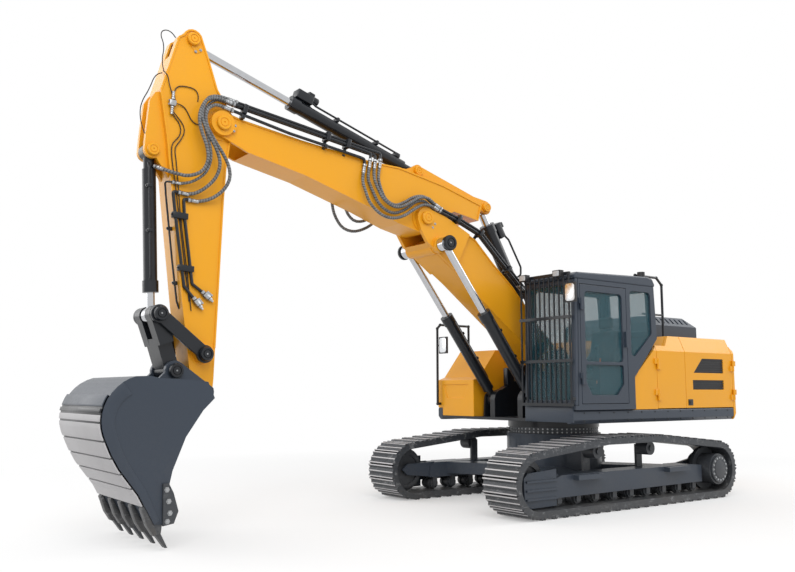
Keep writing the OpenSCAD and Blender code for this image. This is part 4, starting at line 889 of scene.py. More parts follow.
# Radii of bolt heads and grease nipples
CLAMP_BOLT = 0.012
VALVE_BOLT = 0.010
KEEPER_BOLT = 0.013
DRIVE_BOLT = 0.012
SMALL_BOLT = 0.009
CUTTER_BOLT = 0.020
NIPPLE = 0.012


def bolt(radius):
    """A hexagon bolt head on its washer, along Z."""
    return turned(
        [(0.0, 0.0), (1.45 * radius, 0.0), (1.45 * radius, 0.25 * radius), (radius, 0.25 * radius),
         (radius, 0.85 * radius), (0.8 * radius, 1.0 * radius), (0.0, 1.0 * radius)],
        6,
    )


def hose_fitting(diameter):
    """A nut, a neck and a crimped sleeve along Z, for a hose of the given diameter."""
    size = diameter / 0.045
    profile = (
        (0.0, 0.0), (0.029, 0.0), (0.032, 0.004), (0.032, 0.030), (0.020, 0.034), (0.020, 0.048),
        (0.0275, 0.050), (0.0275, 0.072), (0.0250, 0.076), (0.0250, 0.080), (0.0275, 0.084), (0.0275, 0.106),
        (0.0250, 0.110), (0.0275, 0.114), (0.0275, 0.136), (0.0235, 0.140), (0.0, 0.140),
    )
    return turned([(radius * size, height * size) for radius, height in profile], 16)


# Hoses across the arm's joints: name, diameter, material, and runs of points, each on the body that it names
HOSES = (
    ("nose_hose_1", 0.040, "hose_wrap", (
        ("front_boom", ((2.990, 0.272, 0.256), (3.120, 0.260, 0.258), (3.220, 0.242, 0.263))),
        ("stick", (
            (-0.215, 0.228, 0.276), (-0.105, 0.292, 0.296), (0.040, 0.322, 0.322), (0.190, 0.292, 0.342),
            (0.345, 0.222, 0.348), (0.500, 0.190, 0.342), (0.640, 0.240, 0.318), (0.712, 0.375, 0.278),
            (0.706, 0.500, 0.240), (0.674, 0.605, 0.178), (0.628, 0.704, 0.080),
        )),
    )),
    ("nose_hose_2", 0.032, "hose_wrap", (
        ("front_boom", ((2.990, 0.272, 0.210), (3.120, 0.258, 0.214), (3.190, 0.246, 0.220))),
        ("stick", (
            (-0.205, 0.172, 0.236), (-0.100, 0.232, 0.256), (0.050, 0.255, 0.288), (0.210, 0.212, 0.313),
            (0.370, 0.160, 0.322), (0.510, 0.150, 0.318), (0.650, 0.195, 0.298), (0.755, 0.305, 0.252),
            (0.797, 0.420, 0.206), (0.800, 0.530, 0.197),
        )),
    )),
    ("nose_hose_3", 0.040, "hose_wrap", (
        ("front_boom", ((2.960, 0.318, 0.232), (3.090, 0.304, 0.234), (3.190, 0.286, 0.239))),
        ("stick", (
            (-0.258, 0.195, 0.256), (-0.150, 0.262, 0.280), (0.000, 0.290, 0.312), (0.180, 0.222, 0.336),
            (0.350, 0.105, 0.342), (0.510, 0.040, 0.332), (0.660, 0.060, 0.308), (0.790, 0.145, 0.264),
            (0.875, 0.250, 0.215), (0.900, 0.345, 0.194), (0.900, 0.450, 0.192),
        )),
    )),
    ("nose_hose_4", 0.040, "hose_wrap", (
        ("front_boom", ((2.990, 0.188, 0.256), (3.120, 0.176, 0.260), (3.190, 0.167, 0.265))),
        ("stick", (
            (-0.165, 0.155, 0.276), (-0.105, 0.215, 0.286), (-0.010, 0.240, 0.298),
            (0.105, 0.218, 0.310), (0.235, 0.132, 0.316), (0.370, 0.020, 0.318), (0.510, -0.072, 0.316),
            (0.650, -0.104, 0.304), (0.790, -0.052, 0.276), (0.905, 0.065, 0.228), (0.960, 0.205, 0.196),
            (0.965, 0.330, 0.192),
        )),
    )),
    ("joint_hose_1", 0.040, "hose_wrap", (
        ("front_boom", ((1.105, 0.330, 0.236), (1.095, 0.200, 0.240), (1.078, 0.080, 0.256))),
        ("base_boom", (
            (4.065, -0.420, 0.284), (3.960, -0.492, 0.300), (3.820, -0.520, 0.314),
            (3.680, -0.498, 0.322), (3.550, -0.415, 0.326), (3.450, -0.275, 0.326),
            (3.380, -0.090, 0.325), (3.300, 0.075, 0.318), (3.170, 0.176, 0.303), (3.020, 0.222, 0.296),
        )),
    )),
    ("joint_hose_2", 0.040, "hose_wrap", (
        ("front_boom", ((1.045, 0.430, 0.246), (1.030, 0.300, 0.246), (1.010, 0.160, 0.250))),
        ("base_boom", (
            (3.970, -0.330, 0.262), (3.842, -0.385, 0.270), (3.690, -0.385, 0.272),
            (3.560, -0.320, 0.275), (3.460, -0.150, 0.278), (3.400, 0.040, 0.278), (3.300, 0.155, 0.272),
            (3.160, 0.192, 0.256), (3.020, 0.222, 0.252),
        )),
    )),
    ("joint_hose_3", 0.040, "hose_wrap", (
        ("front_boom", ((0.970, 0.450, 0.247), (0.955, 0.320, 0.250), (0.930, 0.180, 0.275))),
        ("base_boom", (
            (3.880, -0.300, 0.310), (3.770, -0.322, 0.325), (3.650, -0.295, 0.330),
            (3.550, -0.205, 0.330), (3.475, -0.050, 0.328), (3.410, 0.100, 0.322), (3.300, 0.205, 0.314),
            (3.160, 0.236, 0.300), (3.020, 0.266, 0.296),
        )),
    )),
    ("joint_hose_4", 0.040, "hose_wrap", (
        ("front_boom", ((0.895, 0.490, 0.247), (0.880, 0.360, 0.247), (0.855, 0.210, 0.250))),
        ("base_boom", (
            (3.800, -0.258, 0.262), (3.700, -0.262, 0.270), (3.605, -0.215, 0.272),
            (3.530, -0.090, 0.275), (3.460, 0.070, 0.275), (3.340, 0.205, 0.270), (3.160, 0.246, 0.258),
            (3.020, 0.266, 0.252),
        )),
    )),
    *(
        (f"foot_hose_{number}", 0.036, "rubber", (
            ("base_boom", (
                (1.300, 0.385 + rise, y), (1.180, 0.376 + rise, y), (1.060, 0.320 + rise, y + 0.005),
            )),
            ("upper", (
                (0.760, 2.800 + rise, y + 0.012), (0.690, 2.600, y + 0.018), (0.660, 2.400, y + 0.022),
                (0.650, 2.200, y + 0.022), (0.645, 2.060, y + 0.018), (0.640 + lean, 1.920, y + 0.012),
            )),
        ))
        for number, rise, y, lean in (
            (1, 0.0, 0.252, 0.035), (2, 0.0, 0.296, 0.035),
            (3, 0.044, 0.252, -0.035), (4, 0.044, 0.296, -0.035),
        )
    ),
    ("far_hose_1", 0.040, "hose_wrap", (
        ("front_boom", (
            (1.230, 0.150, -0.236), (1.215, 0.020, -0.242), (1.170, -0.110, -0.275),
            (1.060, -0.260, -0.315), (0.890, -0.372, -0.335), (0.703, -0.360, -0.340),
            (0.516, -0.234, -0.340), (0.371, -0.060, -0.335),
        )),
        ("base_boom", (
            (3.330, 0.080, -0.320), (3.220, 0.170, -0.285), (3.120, 0.208, -0.262),
            (3.020, 0.216, -0.254),
        )),
    )),
    ("far_hose_2", 0.040, "hose_wrap", (
        ("front_boom", (
            (1.050, 0.200, -0.236), (1.035, 0.070, -0.242), (0.985, -0.060, -0.270),
            (0.880, -0.175, -0.300), (0.740, -0.222, -0.320), (0.590, -0.165, -0.330),
            (0.470, -0.030, -0.330), (0.390, 0.120, -0.320),
        )),
        ("base_boom", (
            (3.290, 0.255, -0.290), (3.140, 0.300, -0.268), (3.000, 0.295, -0.258),
            (2.860, 0.274, -0.252),
        )),
    )),
)


class EXCAVATOR_OT_hoses(bpy.types.Operator):
    """Hoses that bend over the arm's joints, with a crimped fitting at each end"""

    bl_idname = "excavator.hoses"
    bl_label = "Hang the hoses"

    def execute(self, context):
        fittings = {}
        for name, diameter, material, runs in HOSES:
            route = curved_route([PLACES_ON[body](*point) for body, points in runs for point in points])
            first = runs[0][0]
            last = runs[-1][0]
            for body, end, following in ((first, route[0], route[1]), (last, route[-1], route[-2])):
                fitting = placed(hose_fitting(diameter), aimed(end, (following - end).normalized()))
                fittings.setdefault(body, []).append(fitting)
            hose = tube(route, diameter)
            hose.name = name
            dress(hose, material)
            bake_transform(hose)
        for body, pieces in fittings.items():
            settle(joined(pieces), f"hose_fittings_{body}", body, "bright_steel")
        return {"FINISHED"}


# Caps, valves and bolts


def pin_cap(radius, height):
    """A round pin cap with a turned groove and a grease point, along Z."""
    return turned(
        [(0.0, 0.0), (radius, 0.0), (radius, 0.65 * height), (0.9 * radius, height),
         (0.64 * radius, height), (0.61 * radius, 0.75 * height), (0.53 * radius, 0.75 * height),
         (0.50 * radius, height), (0.13 * radius, height), (0.11 * radius, 0.7 * height),
         (0.0, 0.7 * height)],
        28,
    )


KEEPER_T = 0.014


def keeper_plate(reach):
    """The flat plate that keeps a pin from turning, from the pin along X."""
    width = 0.052
    corner = 0.02
    return plate(
        [(0.0, -width), (reach - corner, -width), (reach, corner - width), (reach, width - corner),
         (reach - corner, width), (0.0, width)],
        KEEPER_T,
    )


# Pins with painted caps: body, place, half width, cap radius and the keeper's direction, if it has one
YELLOW_PINS = (
    ("front_boom", JOINT_AT["stick"], 0.262, 0.085, -on_front_boom.along),
    ("base_boom", JOINT_AT["front_boom"], 0.296, 0.090, -on_base_boom.along),
    ("stick", on_stick(-0.919, 0.415, 0.0), 0.192, 0.075, on_stick.along - 0.6 * on_stick.across),
    ("stick", on_stick(0.458, 0.752, 0.0), 0.138, 0.070, None),
    ("front_boom", on_front_boom(0.195, 0.648, 0.0), 0.138, 0.066, None),
    ("front_boom", on_front_boom(-1.094, 0.614, 0.0), 0.151, 0.068, None),
    ("base_boom", JOINT_AT["adjust_barrel"], 0.141, 0.066, None),
)
LINKS_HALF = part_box("side_links")[1].y
# Pins with black caps: body, place, half width and cap radius
BLACK_PINS = (
    ("boom_rods", Vector((2.4491, 0.0, 3.5404)), 0.497, 0.105),
    ("side_links", JOINT_AT["bucket_link"], LINKS_HALF, 0.080),
    ("side_links", JOINT_AT["side_links"], LINKS_HALF, 0.080),
    ("bucket", JOINT_AT["bucket"], 0.246, 0.080),
    ("bucket", JOINT_AT["bucket"] + Vector((0.320, 0.0, 0.232)), 0.256, 0.080),
)
YELLOW_CAP_HEIGHT = 0.030
YELLOW_CAP_SUNK = 0.002
BLACK_CAP_HEIGHT = 0.046
BLACK_CAP_SUNK = 0.004
NIPPLE_OUT = 0.028
# How far a keeper's back is from the pin's end
KEEPER_SUNK = 0.030
# How far a keeper reaches past its cap, and how far its bolts are from its end and from its middle line
KEEPER_REACH = 0.085
KEEPER_BOLT_IN = 0.022
KEEPER_BOLT_STEP = 0.034


class EXCAVATOR_OT_pin_caps(bpy.types.Operator):
    """Pin caps, keeper plates and their bolts at the arm's pins"""

    bl_idname = "excavator.pin_caps"
    bl_label = "Cap the pins"

    def execute(self, context):
        caps = {}
        bright = {}
        for body, place, half, radius, keeper in YELLOW_PINS:
            for side in SIDES:
                out = side * LEFT
                end = place + half * out
                cap = placed(pin_cap(radius, YELLOW_CAP_HEIGHT), aimed(end - YELLOW_CAP_SUNK * out, out))
                caps.setdefault((body, "yellow_paint"), []).append(cap)
                if keeper is None:
                    continue
                reach = radius + KEEPER_REACH
                bar = placed(keeper_plate(reach), laid(end - KEEPER_SUNK * out, keeper, out))
                caps[body, "yellow_paint"].append(bar)
                along = keeper.normalized()
                across = along.cross(LEFT)
                for step in (-KEEPER_BOLT_STEP, KEEPER_BOLT_STEP):
                    spot = end + (reach - KEEPER_BOLT_IN) * along + step * across
                    spot -= (KEEPER_SUNK - KEEPER_T + SUNK) * out
                    bright.setdefault(body, []).append(placed(bolt(KEEPER_BOLT), aimed(spot, out)))
        for body, place, half, radius in BLACK_PINS:
            for side in SIDES:
                out = side * LEFT
                end = place + half * out
                cap = placed(pin_cap(radius, BLACK_CAP_HEIGHT), aimed(end - BLACK_CAP_SUNK * out, out))
                caps.setdefault((body, "black_paint"), []).append(cap)
                nipple = placed(bolt(NIPPLE), aimed(end + NIPPLE_OUT * out, out))
                bright.setdefault(body, []).append(nipple)
        for (body, material), pieces in caps.items():
            settle(joined(pieces), f"pin_caps_{body}", body, material)
        for body, pieces in bright.items():
            settle(joined(pieces), f"pin_bolts_{body}", body, "bright_steel")
        return {"FINISHED"}


def stop_valve():
    """A ball valve with a nut at each end, along Z."""
    body = turned(
        [(0.0, 0.0), (0.026, 0.0), (0.028, 0.004), (0.028, 0.030), (0.020, 0.034), (0.036, 0.040),
         (0.038, 0.050), (0.038, 0.100), (0.036, 0.110), (0.020, 0.116), (0.028, 0.120), (0.028, 0.146),
         (0.016, 0.150), (0.016, 0.175), (0.0, 0.175)],
        8,
    )
    handle = block_at((0.045, 0.0, 0.090), (0.022, 0.022, 0.080), 0.004)
    return joined([body, handle])


GREASE_BLOCK_AT = (-0.100, 0.600, 0.196)
# Valve blocks: body, material, and for each where it is and its size along, sideways and across
VALVE_BLOCKS = (
    ("arm_barrel", "black_paint", (
        ((1.880, 0.150, 0.010), (0.240, 0.150, 0.120)),
        ((1.800, 0.225, 0.015), (0.090, 0.120, 0.050)),
        ((0.340, 0.095, 0.000), (0.080, 0.140, 0.060)),
    )),
    ("adjust_barrel", "black_paint", (
        ((1.270, 0.150, 0.020), (0.230, 0.130, 0.110)),
        ((1.330, 0.220, 0.030), (0.080, 0.090, 0.060)),
    )),
    ("stick", "bright_steel", (
        (GREASE_BLOCK_AT, (0.070, 0.052, 0.080)),
    )),
    ("upper", "black_paint", (
        ((0.640, 1.790, 0.282), (0.150, 0.090, 0.260)),
        ((0.640, 1.790, -0.282), (0.150, 0.090, 0.260)),
    )),
)
COIL = ((0.0, 0.0), (0.045, 0.0), (0.050, 0.008), (0.050, 0.070), (0.040, 0.085), (0.0, 0.085))
COIL_AT = (1.755, 0.190, 0.010)
# Stop valves on the stick: where, and how steeply they point to its back
STOP_VALVES = (((2.050, 0.180, 0.196), 1.0), ((1.972, 0.084, 0.196), 1.4))
# Nuts on the greasing block: where along the stick, and which way
GREASE_NUTS = ((-0.140, -1.0), (-0.060, 1.0))
# Diameter of the hose that the nuts would fit
GREASE_NUT = 0.030


class EXCAVATOR_OT_valves(bpy.types.Operator):
    """Valve blocks on the cylinders, stop valves on the stick and the greasing block"""

    bl_idname = "excavator.valves"
    bl_label = "Fit the valves"

    def execute(self, context):
        for body, material, blocks in VALVE_BLOCKS:
            place = PLACES_ON[body]
            pieces = []
            for where, size in blocks:
                pieces.append(placed(block(size, 0.012, 3), laid(place(*where), place.along, place.across)))
                for step in (-0.32, 0.32):
                    top = place(where[0] + step * size[0], where[1] + size[2] / 2 - SUNK, where[2])
                    pieces.append(placed(bolt(VALVE_BOLT), aimed(top, place.across)))
            if body == "arm_barrel":
                pieces.append(placed(turned(COIL), aimed(place(*COIL_AT), -place.along)))
            settle(joined(pieces), f"valve_blocks_{body}", body, material)
        bright = []
        for spot, steepness in STOP_VALVES:
            direction = (on_stick.along - steepness * on_stick.across).normalized()
            bright.append(placed(stop_valve(), aimed(on_stick(*spot), direction, math.pi / 2)))
        for s, turn in GREASE_NUTS:
            end = on_stick(s, *GREASE_BLOCK_AT[1:])
            bright.append(placed(hose_fitting(GREASE_NUT), aimed(end, turn * on_stick.along)))
        settle(joined(bright), "stop_valves", "stick", "bright_steel")
        return {"FINISHED"}


# Thin greasing lines on the stick, clipped to its plates
GREASE_LINES = (
    (
        (-0.010, 0.600, 0.190), (0.050, 0.560, 0.182), (0.101, 0.504, 0.180), (0.189, 0.472, 0.180),
        (0.265, 0.490, 0.180), (0.351, 0.550, 0.180), (0.425, 0.560, 0.180), (0.562, 0.540, 0.180),
        (0.800, 0.486, 0.180), (1.160, 0.410, 0.180), (1.740, 0.290, 0.180), (2.100, 0.214, 0.180),
    ),
    (
        (-0.010, 0.590, 0.190), (0.050, 0.515, 0.182), (0.113, 0.454, 0.180), (0.190, 0.429, 0.180),
        (0.294, 0.463, 0.180), (0.378, 0.512, 0.180), (0.427, 0.520, 0.180), (0.550, 0.496, 0.180),
        (0.800, 0.452, 0.180), (1.160, 0.392, 0.180), (1.740, 0.272, 0.180), (2.200, 0.182, 0.180),
    ),
    (
        (-0.190, 0.606, 0.192), (-0.311, 0.652, 0.188), (-0.400, 0.680, 0.188), (-0.450, 0.715, 0.160),
        (-0.470, 0.712, 0.120),
    ),
    (
        (-0.130, 0.570, 0.196), (-0.220, 0.585, 0.186), (-0.290, 0.565, 0.180), (-0.325, 0.515, 0.180),
        (-0.339, 0.395, 0.180), (-0.320, 0.332, 0.180), (-0.266, 0.302, 0.180), (-0.200, 0.299, 0.176),
    ),
    (
        (-0.105, 0.570, 0.196), (-0.105, 0.500, 0.184), (-0.082, 0.447, 0.180), (-0.032, 0.406, 0.180),
        (0.030, 0.364, 0.180), (0.065, 0.312, 0.180), (0.070, 0.240, 0.176),
    ),
)

# Free greasing hoses round the stick's pins
GREASE_HOSES = (
    ("grease_hose_top", (
        (-0.480, 0.700, 0.110), (-0.540, 0.722, 0.112), (-0.630, 0.732, 0.115), (-0.720, 0.728, 0.120),
        (-0.800, 0.742, 0.122), (-0.870, 0.772, 0.124), (-0.925, 0.765, 0.124), (-0.955, 0.715, 0.124),
        (-0.945, 0.655, 0.122), (-0.900, 0.600, 0.120),
    )),
    ("grease_hose_front", (
        (-0.470, 0.700, 0.060), (-0.440, 0.750, 0.060), (-0.380, 0.790, 0.062), (-0.300, 0.815, 0.064),
        (-0.200, 0.850, 0.068), (-0.100, 0.892, 0.074), (0.000, 0.915, 0.080), (0.100, 0.912, 0.086),
        (0.200, 0.886, 0.090), (0.290, 0.850, 0.096),
    )),
)
GREASE_DIAMETER = 0.012
GREASE_SIDES = 8
# Rings along each clipped line
GREASE_RINGS = 48


class EXCAVATOR_OT_grease_lines(bpy.types.Operator):
    """Thin greasing lines on the stick, and the free hoses to its pins"""

    bl_idname = "excavator.grease_lines"
    bl_label = "Lay the greasing lines"

    def execute(self, context):
        lines = []
        for points in GREASE_LINES:
            route = curved_route([on_stick(*point) for point in points], GREASE_RINGS)
            lines.append(tube(route, GREASE_DIAMETER, GREASE_SIDES))
        settle(joined(lines), "grease_lines", "stick", "rubber")
        for name, points in GREASE_HOSES:
            route = curved_route([on_stick(*point) for point in points])
            hose = settle(tube(route, GREASE_DIAMETER, GREASE_SIDES), name, "stick", "rubber")
        return {"FINISHED"}


def ring_places(centre, axis, radius, count, lift=0.0):
    """Matrices for a ring of like pieces that point along an axis."""
    axis = Vector(axis)
    spoke = axis.orthogonal().normalized()
    places = []
    for index in range(count):
        arm = Matrix.Rotation(2.0 * math.pi * index / count, 3, axis) @ spoke
        places.append(aimed(centre + radius * arm + lift * axis, axis))
    return places


DRIVE_RING = 0.165
DRIVE_BOLTS = 16
DRIVE_COVER = ((0.0, 0.0), (0.130, 0.0), (0.130, 0.006), (0.120, 0.010), (0.0, 0.010))
BEARING_BOLTS = 60
BEARING_BOLT_IN = 0.022
SILL_BOLTS = 12
SILL_BOLT_IN = 0.035
# How far the sills' bolts start from the rear end, and how much of the sill they leave free in all
SILL_BOLT_START = 0.18
SILL_BOLT_FREE = 0.4
# Bolts of the bucket's side cutters: forward and up from the pin at the stick's tip
CUTTER_BOLTS = ((0.562, -0.965), (0.540, -1.080), (0.524, -1.195), (0.548, -1.275))


class EXCAVATOR_OT_bolts(bpy.types.Operator):
    """Bolt heads on the final drives, the swing bearing, the sills and the bucket's side cutters"""

    bl_idname = "excavator.bolts"
    bl_label = "Set the bolts"

    def execute(self, context):
        hub_low, hub_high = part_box("sprockets")
        axle = Vector(((hub_low.x + hub_high.x) / 2, 0.0, (hub_low.z + hub_high.z) / 2))
        places = []
        covers = []
        for side in SIDES:
            out = side * LEFT
            face = axle + hub_high.y * out
            places += ring_places(face, out, DRIVE_RING, DRIVE_BOLTS, -SUNK)
            covers.append(placed(turned(DRIVE_COVER, 32), aimed(face - SUNK * out, out)))
        settle(stamped(bolt(DRIVE_BOLT), places), "drive_bolts", "undercarriage", "bright_steel")
        settle(joined(covers), "drive_covers", "undercarriage", "dark_steel")

        ring_low, ring_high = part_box("swing_bearing")
        places = []
        for index in range(BEARING_BOLTS):
            angle = 2.0 * math.pi * index / BEARING_BOLTS
            out = Vector((math.cos(angle), math.sin(angle), 0.0))
            for z in (ring_low.z + BEARING_BOLT_IN, ring_high.z - BEARING_BOLT_IN):
                places.append(aimed((ring_high.x - 0.002) * out + z * UP, out))
        settle(stamped(bolt(SMALL_BOLT), places), "bearing_bolts", "undercarriage", "bright_steel")

        sill_low, sill_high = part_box("side_sills")
        step = (sill_high.x - sill_low.x - SILL_BOLT_FREE) / (SILL_BOLTS - 1)
        places = []
        for side in SIDES:
            for index in range(SILL_BOLTS):
                x = sill_low.x + SILL_BOLT_START + index * step
                for z in (sill_low.z + SILL_BOLT_IN, sill_high.z - SILL_BOLT_IN):
                    places.append(aimed(Vector((x, side * (sill_high.y - SUNK), z)), side * LEFT))
        settle(stamped(bolt(SMALL_BOLT), places), "sill_bolts", "upper", "black_paint")

        cutter_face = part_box("bucket_teeth")[1].y - SUNK
        places = []
        for side in SIDES:
            for x, z in CUTTER_BOLTS:
                places.append(aimed(JOINT_AT["bucket"] + Vector((x, side * cutter_face, z)), side * LEFT))
        settle(stamped(bolt(CUTTER_BOLT), places), "cutter_bolts", "bucket", "bright_steel")
        return {"FINISHED"}


# Tracks

# Area under which a track's flat across its whole width is the top of a grouser
GROUSER_TOP_AREA = 0.0144
# Thickness of the bright strips
GROUSER_WEAR = 0.0015


class EXCAVATOR_OT_grouser_wear(bpy.types.Operator):
    """Bright strips on the tops of the tracks' grousers, where they rub"""

    bl_idname = "excavator.grouser_wear"
    bl_label = "Wear the grousers"

    def execute(self, context):
        for side in ("left", "right"):
            strips = linked(NODES[f"track_{side}"].data.copy())
            edit_all()
            bpy.ops.mesh.remove_doubles(threshold=SAME_POINT)
            bpy.ops.mesh.dissolve_limited(angle_limit=math.radians(0.5))
            bpy.ops.mesh.select_mode(type="FACE")
            bpy.ops.mesh.select_all(action="DESELECT")
            bpy.ops.object.mode_set(mode="OBJECT")
            for face in strips.data.polygons:
                face.select = face.area > GROUSER_TOP_AREA or abs(face.normal.y) > 0.1
            bpy.ops.object.mode_set(mode="EDIT")
            bpy.ops.mesh.delete(type="FACE")
            bpy.ops.object.mode_set(mode="OBJECT")
            wear = strips.modifiers.new("Wear", "SOLIDIFY")
            wear.thickness = GROUSER_WEAR
            wear.offset = 1.0
            bpy.ops.object.modifier_apply(modifier=wear.name)
            settle(strips, f"grouser_wear_{side}", "undercarriage", "wear_steel")
        return {"FINISHED"}


# Bucket


HEEL_MIDDLE = Vector((0.790, 0.0, -0.265))
HEEL_R = 0.440


def bucket_arc(degrees):
    """A place on the bucket's round heel, from the pin at the stick's tip."""
    angle = math.radians(degrees)
    return HEEL_MIDDLE + HEEL_R * Vector((math.cos(angle), 0.0, math.sin(angle)))


# The bucket's back, from the heel's top to the lip
BUCKET_BACK = (
    *(bucket_arc(degrees) for degrees in (56.0, 46.5, 37.0, 27.5, 18.0, 8.5, -1.0, -10.5, -20.0)),
    Vector((1.124, 0.0, -0.596)), Vector((1.040, 0.0, -0.740)), Vector((0.839, 0.0, -1.000)),
    Vector((0.672, 0.0, -1.300)),
)
BUCKET_HALF = 0.700
# Plates across the back: name, finish, height, and where each starts and ends in steps from the heel's top
BACK_PLATES = (
    ("bucket_backing", "black_paint", 0.016, ((8, 69),)),
    ("bucket_heel_plate", "slate_paint", 0.024, ((8, 15),)),
    # The heel bar is painted shade: a black bar set where the heel's shadow groove falls above the wear plates
    ("bucket_heel_shadow_bar", "black_paint", 0.030, ((15, 18),)),
    ("bucket_wear_plates", "wear_steel", 0.026, (
        (18, 22), (22, 31), (31, 40), (40, 49), (49, 58), (58, 69),
    )),
)
# How much narrower than the bucket the plates are
PLATE_MARGIN = 0.010
# How wide the side plates are at the heel, and how much of that they lose by the lip
SIDE_PLATE_W = 0.150
SIDE_PLATE_TAPER = 0.090
SIDE_PLATE_T = 0.012
TOOTH_SPAN = 1.290
TOOTH_COUNT = 5
SHANK_W = 0.106
# A tooth's shank on the back: distance along it from the lip, and out of it
SHANK = (
    (-0.220, -0.002), (-0.195, 0.034), (-0.020, 0.060), (0.106, 0.050), (0.106, 0.010), (0.000, -0.002),
)


def back_points(points=81):
    """Places along the bucket's back, each with the direction out of it."""
    line = evenly_spaced(BUCKET_BACK, points)
    outwards = []
    for index in range(points):
        along = line[min(index + 1, points - 1)] - line[max(index - 1, 0)]
        outwards.append(Vector((-along.z, 0.0, along.x)).normalized())
    return list(zip(line, outwards))


def across_bucket(outline, middle, width, bevel):
    """A plate with its outline in the arm's plane, so wide about a place across the bucket."""
    piece = plate([(point.x, point.z) for point in outline], width, bevel)
    return placed(piece, laid(JOINT_AT["bucket"] + (middle + width / 2) * LEFT, FORWARD, -LEFT))


class EXCAVATOR_OT_bucket_wear(bpy.types.Operator):
    """Wear plates across the bucket's back, its side plates and the teeth's shanks"""

    bl_idname = "excavator.bucket_wear"
    bl_label = "Plate the bucket"

    def execute(self, context):
        back = back_points()
        for name, material, height, spans in BACK_PLATES:
            bands = []
            for first, last in spans:
                run = back[first + 1:last + 1]
                outline = [place + height * out for place, out in run]
                outline += [place - 0.002 * out for place, out in reversed(run)]
                bands.append(across_bucket(outline, 0.0, 2 * BUCKET_HALF - PLATE_MARGIN, 0.003))
            settle(joined(bands), name, "bucket", material)

        count = len(back)
        rim = [place for place, out in back]
        inner = []
        for index, (place, out) in enumerate(back):
            inner.append(place - (SIDE_PLATE_W - SIDE_PLATE_TAPER * index / count) * out)
        sides = []
        for side in SIDES:
            middle = side * (BUCKET_HALF + SIDE_PLATE_T / 3)
            sides.append(across_bucket(rim + inner[::-1], middle, SIDE_PLATE_T, 0.003))
        settle(joined(sides), "bucket_side_plates", "bucket", "slate_paint")

        lip, outward = back[-1]
        along = Vector((outward.z, 0.0, -outward.x))
        outline = [lip + reach * along + rise * outward for reach, rise in SHANK]
        shanks = []
        for index in range(TOOTH_COUNT):
            middle = TOOTH_SPAN * (index / (TOOTH_COUNT - 1) - 0.5)
            shanks.append(across_bucket(outline, middle, SHANK_W, 0.008))
        settle(joined(shanks), "tooth_shanks", "bucket", "tooth_steel")
        return {"FINISHED"}


# Cab, seat and doors

MIRRORS_AT = ((1.215, 1.500, 2.870), (1.170, -1.185, 2.290))
MIRROR_SIZE = (0.230, 0.160)
# Distance of a mirror's face from the middle of its shell
MIRROR_FACE = 0.0135
LAMPS_AT = ((1.248, 0.650, 3.140), (1.248, 1.280, 3.140))
LAMP_SIZE = (0.070, 0.110)
SAFETY_LEVER = ((0.480, 1.300, 1.560), (0.500, 1.300, 1.700), (0.440, 1.310, 2.020))
BEAM_SIZE = (0.030, 0.870, 0.205)
BEAM_AT = (1.098, 0.955, 1.262)
SCREEN_SIZE = (0.040, 0.200, 0.150)
SCREEN_AT = (0.900, 0.640, 2.180)
SCREEN_FACES = (0.9, -0.35, 0.25)
SCREEN_STALK = ((0.890, 0.640, 2.150), (0.93, 0.60, 2.02), (1.0, 0.545, 1.98))
LATCH_SIZE = (0.110, 0.090, 0.016)
LATCH_AT = (-1.480, 1.398, 1.410)
KEYHOLE_AT = (-1.455, 1.404, 1.410)


def rounded_outline(height, width, corner, steps=5):
    """A rectangle about the origin with round corners."""
    points = []
    for index, (x, y) in enumerate(((1, 1), (-1, 1), (-1, -1), (1, -1))):
        centre = (x * (height / 2 - corner), y * (width / 2 - corner))
        for step in range(steps + 1):
            angle = math.pi / 2 * (index + step / steps)
            points.append((centre[0] + corner * math.cos(angle), centre[1] + corner * math.sin(angle)))
    return points


def on_side(place, side):
    """A place on the left, or its mirror image on the right."""
    x, y, z = place
    return Vector((x, side * y, z))


class EXCAVATOR_OT_cab_trim(bpy.types.Operator):
    """Mirror faces, lamp lenses, the beam below the guard, a lever and a screen, and the doors' latches"""

    bl_idname = "excavator.cab_trim"
    bl_label = "Trim the cab"

    def execute(self, context):
        faces = []
        for place in MIRRORS_AT:
            for side in SIDES:
                face = plate(rounded_outline(*MIRROR_SIZE, 0.040), 0.006)
                spot = Vector(place) + side * MIRROR_FACE * FORWARD
                faces.append(placed(face, laid(spot, UP, side * FORWARD)))
        settle(joined(faces), "mirror_faces", "upper", "mirror_face")

        lenses = []
        for place in LAMPS_AT:
            lens = plate(rounded_outline(*LAMP_SIZE, 0.016), 0.008)
            lenses.append(placed(lens, laid(Vector(place), UP, FORWARD)))
        settle(joined(lenses), "lamp_lenses", "upper", "lamp_lens")

        lever = tube(bent_route(SAFETY_LEVER, 0.06), 0.028)
        settle(lever, "safety_lever", "upper", "orange_plastic")
        settle(block_at(BEAM_AT, BEAM_SIZE, 0.006), "front_beam", "upper", "slate_paint")
        screen = placed(block(SCREEN_SIZE, 0.012, 3), laid(Vector(SCREEN_AT), SCREEN_FACES, UP))
        stalk = tube(bent_route(SCREEN_STALK, 0.04), 0.022)
        settle(joined([screen, stalk]), "cab_screen", "upper", "black_plastic")

        for body, side in (("left_rear_door", 1.0), ("pump_door", -1.0)):
            latch = placed(block(LATCH_SIZE, 0.005), laid(on_side(LATCH_AT, side), FORWARD, side * LEFT))
            keyhole = placed(pin_cap(0.020, 0.012), aimed(on_side(KEYHOLE_AT, side), side * LEFT))
            settle(joined([latch, keyhole]), f"latch_{body}", body, "black_plastic")
        return {"FINISHED"}


# How far a cushion's cover may rise off its block
CUSHION_RISE = 0.018
CUSHION_FRAMES = 20
CUSHION_CORNER = 0.030
SEAT_MIDDLE = Vector((0.180, 0.965, 1.385))
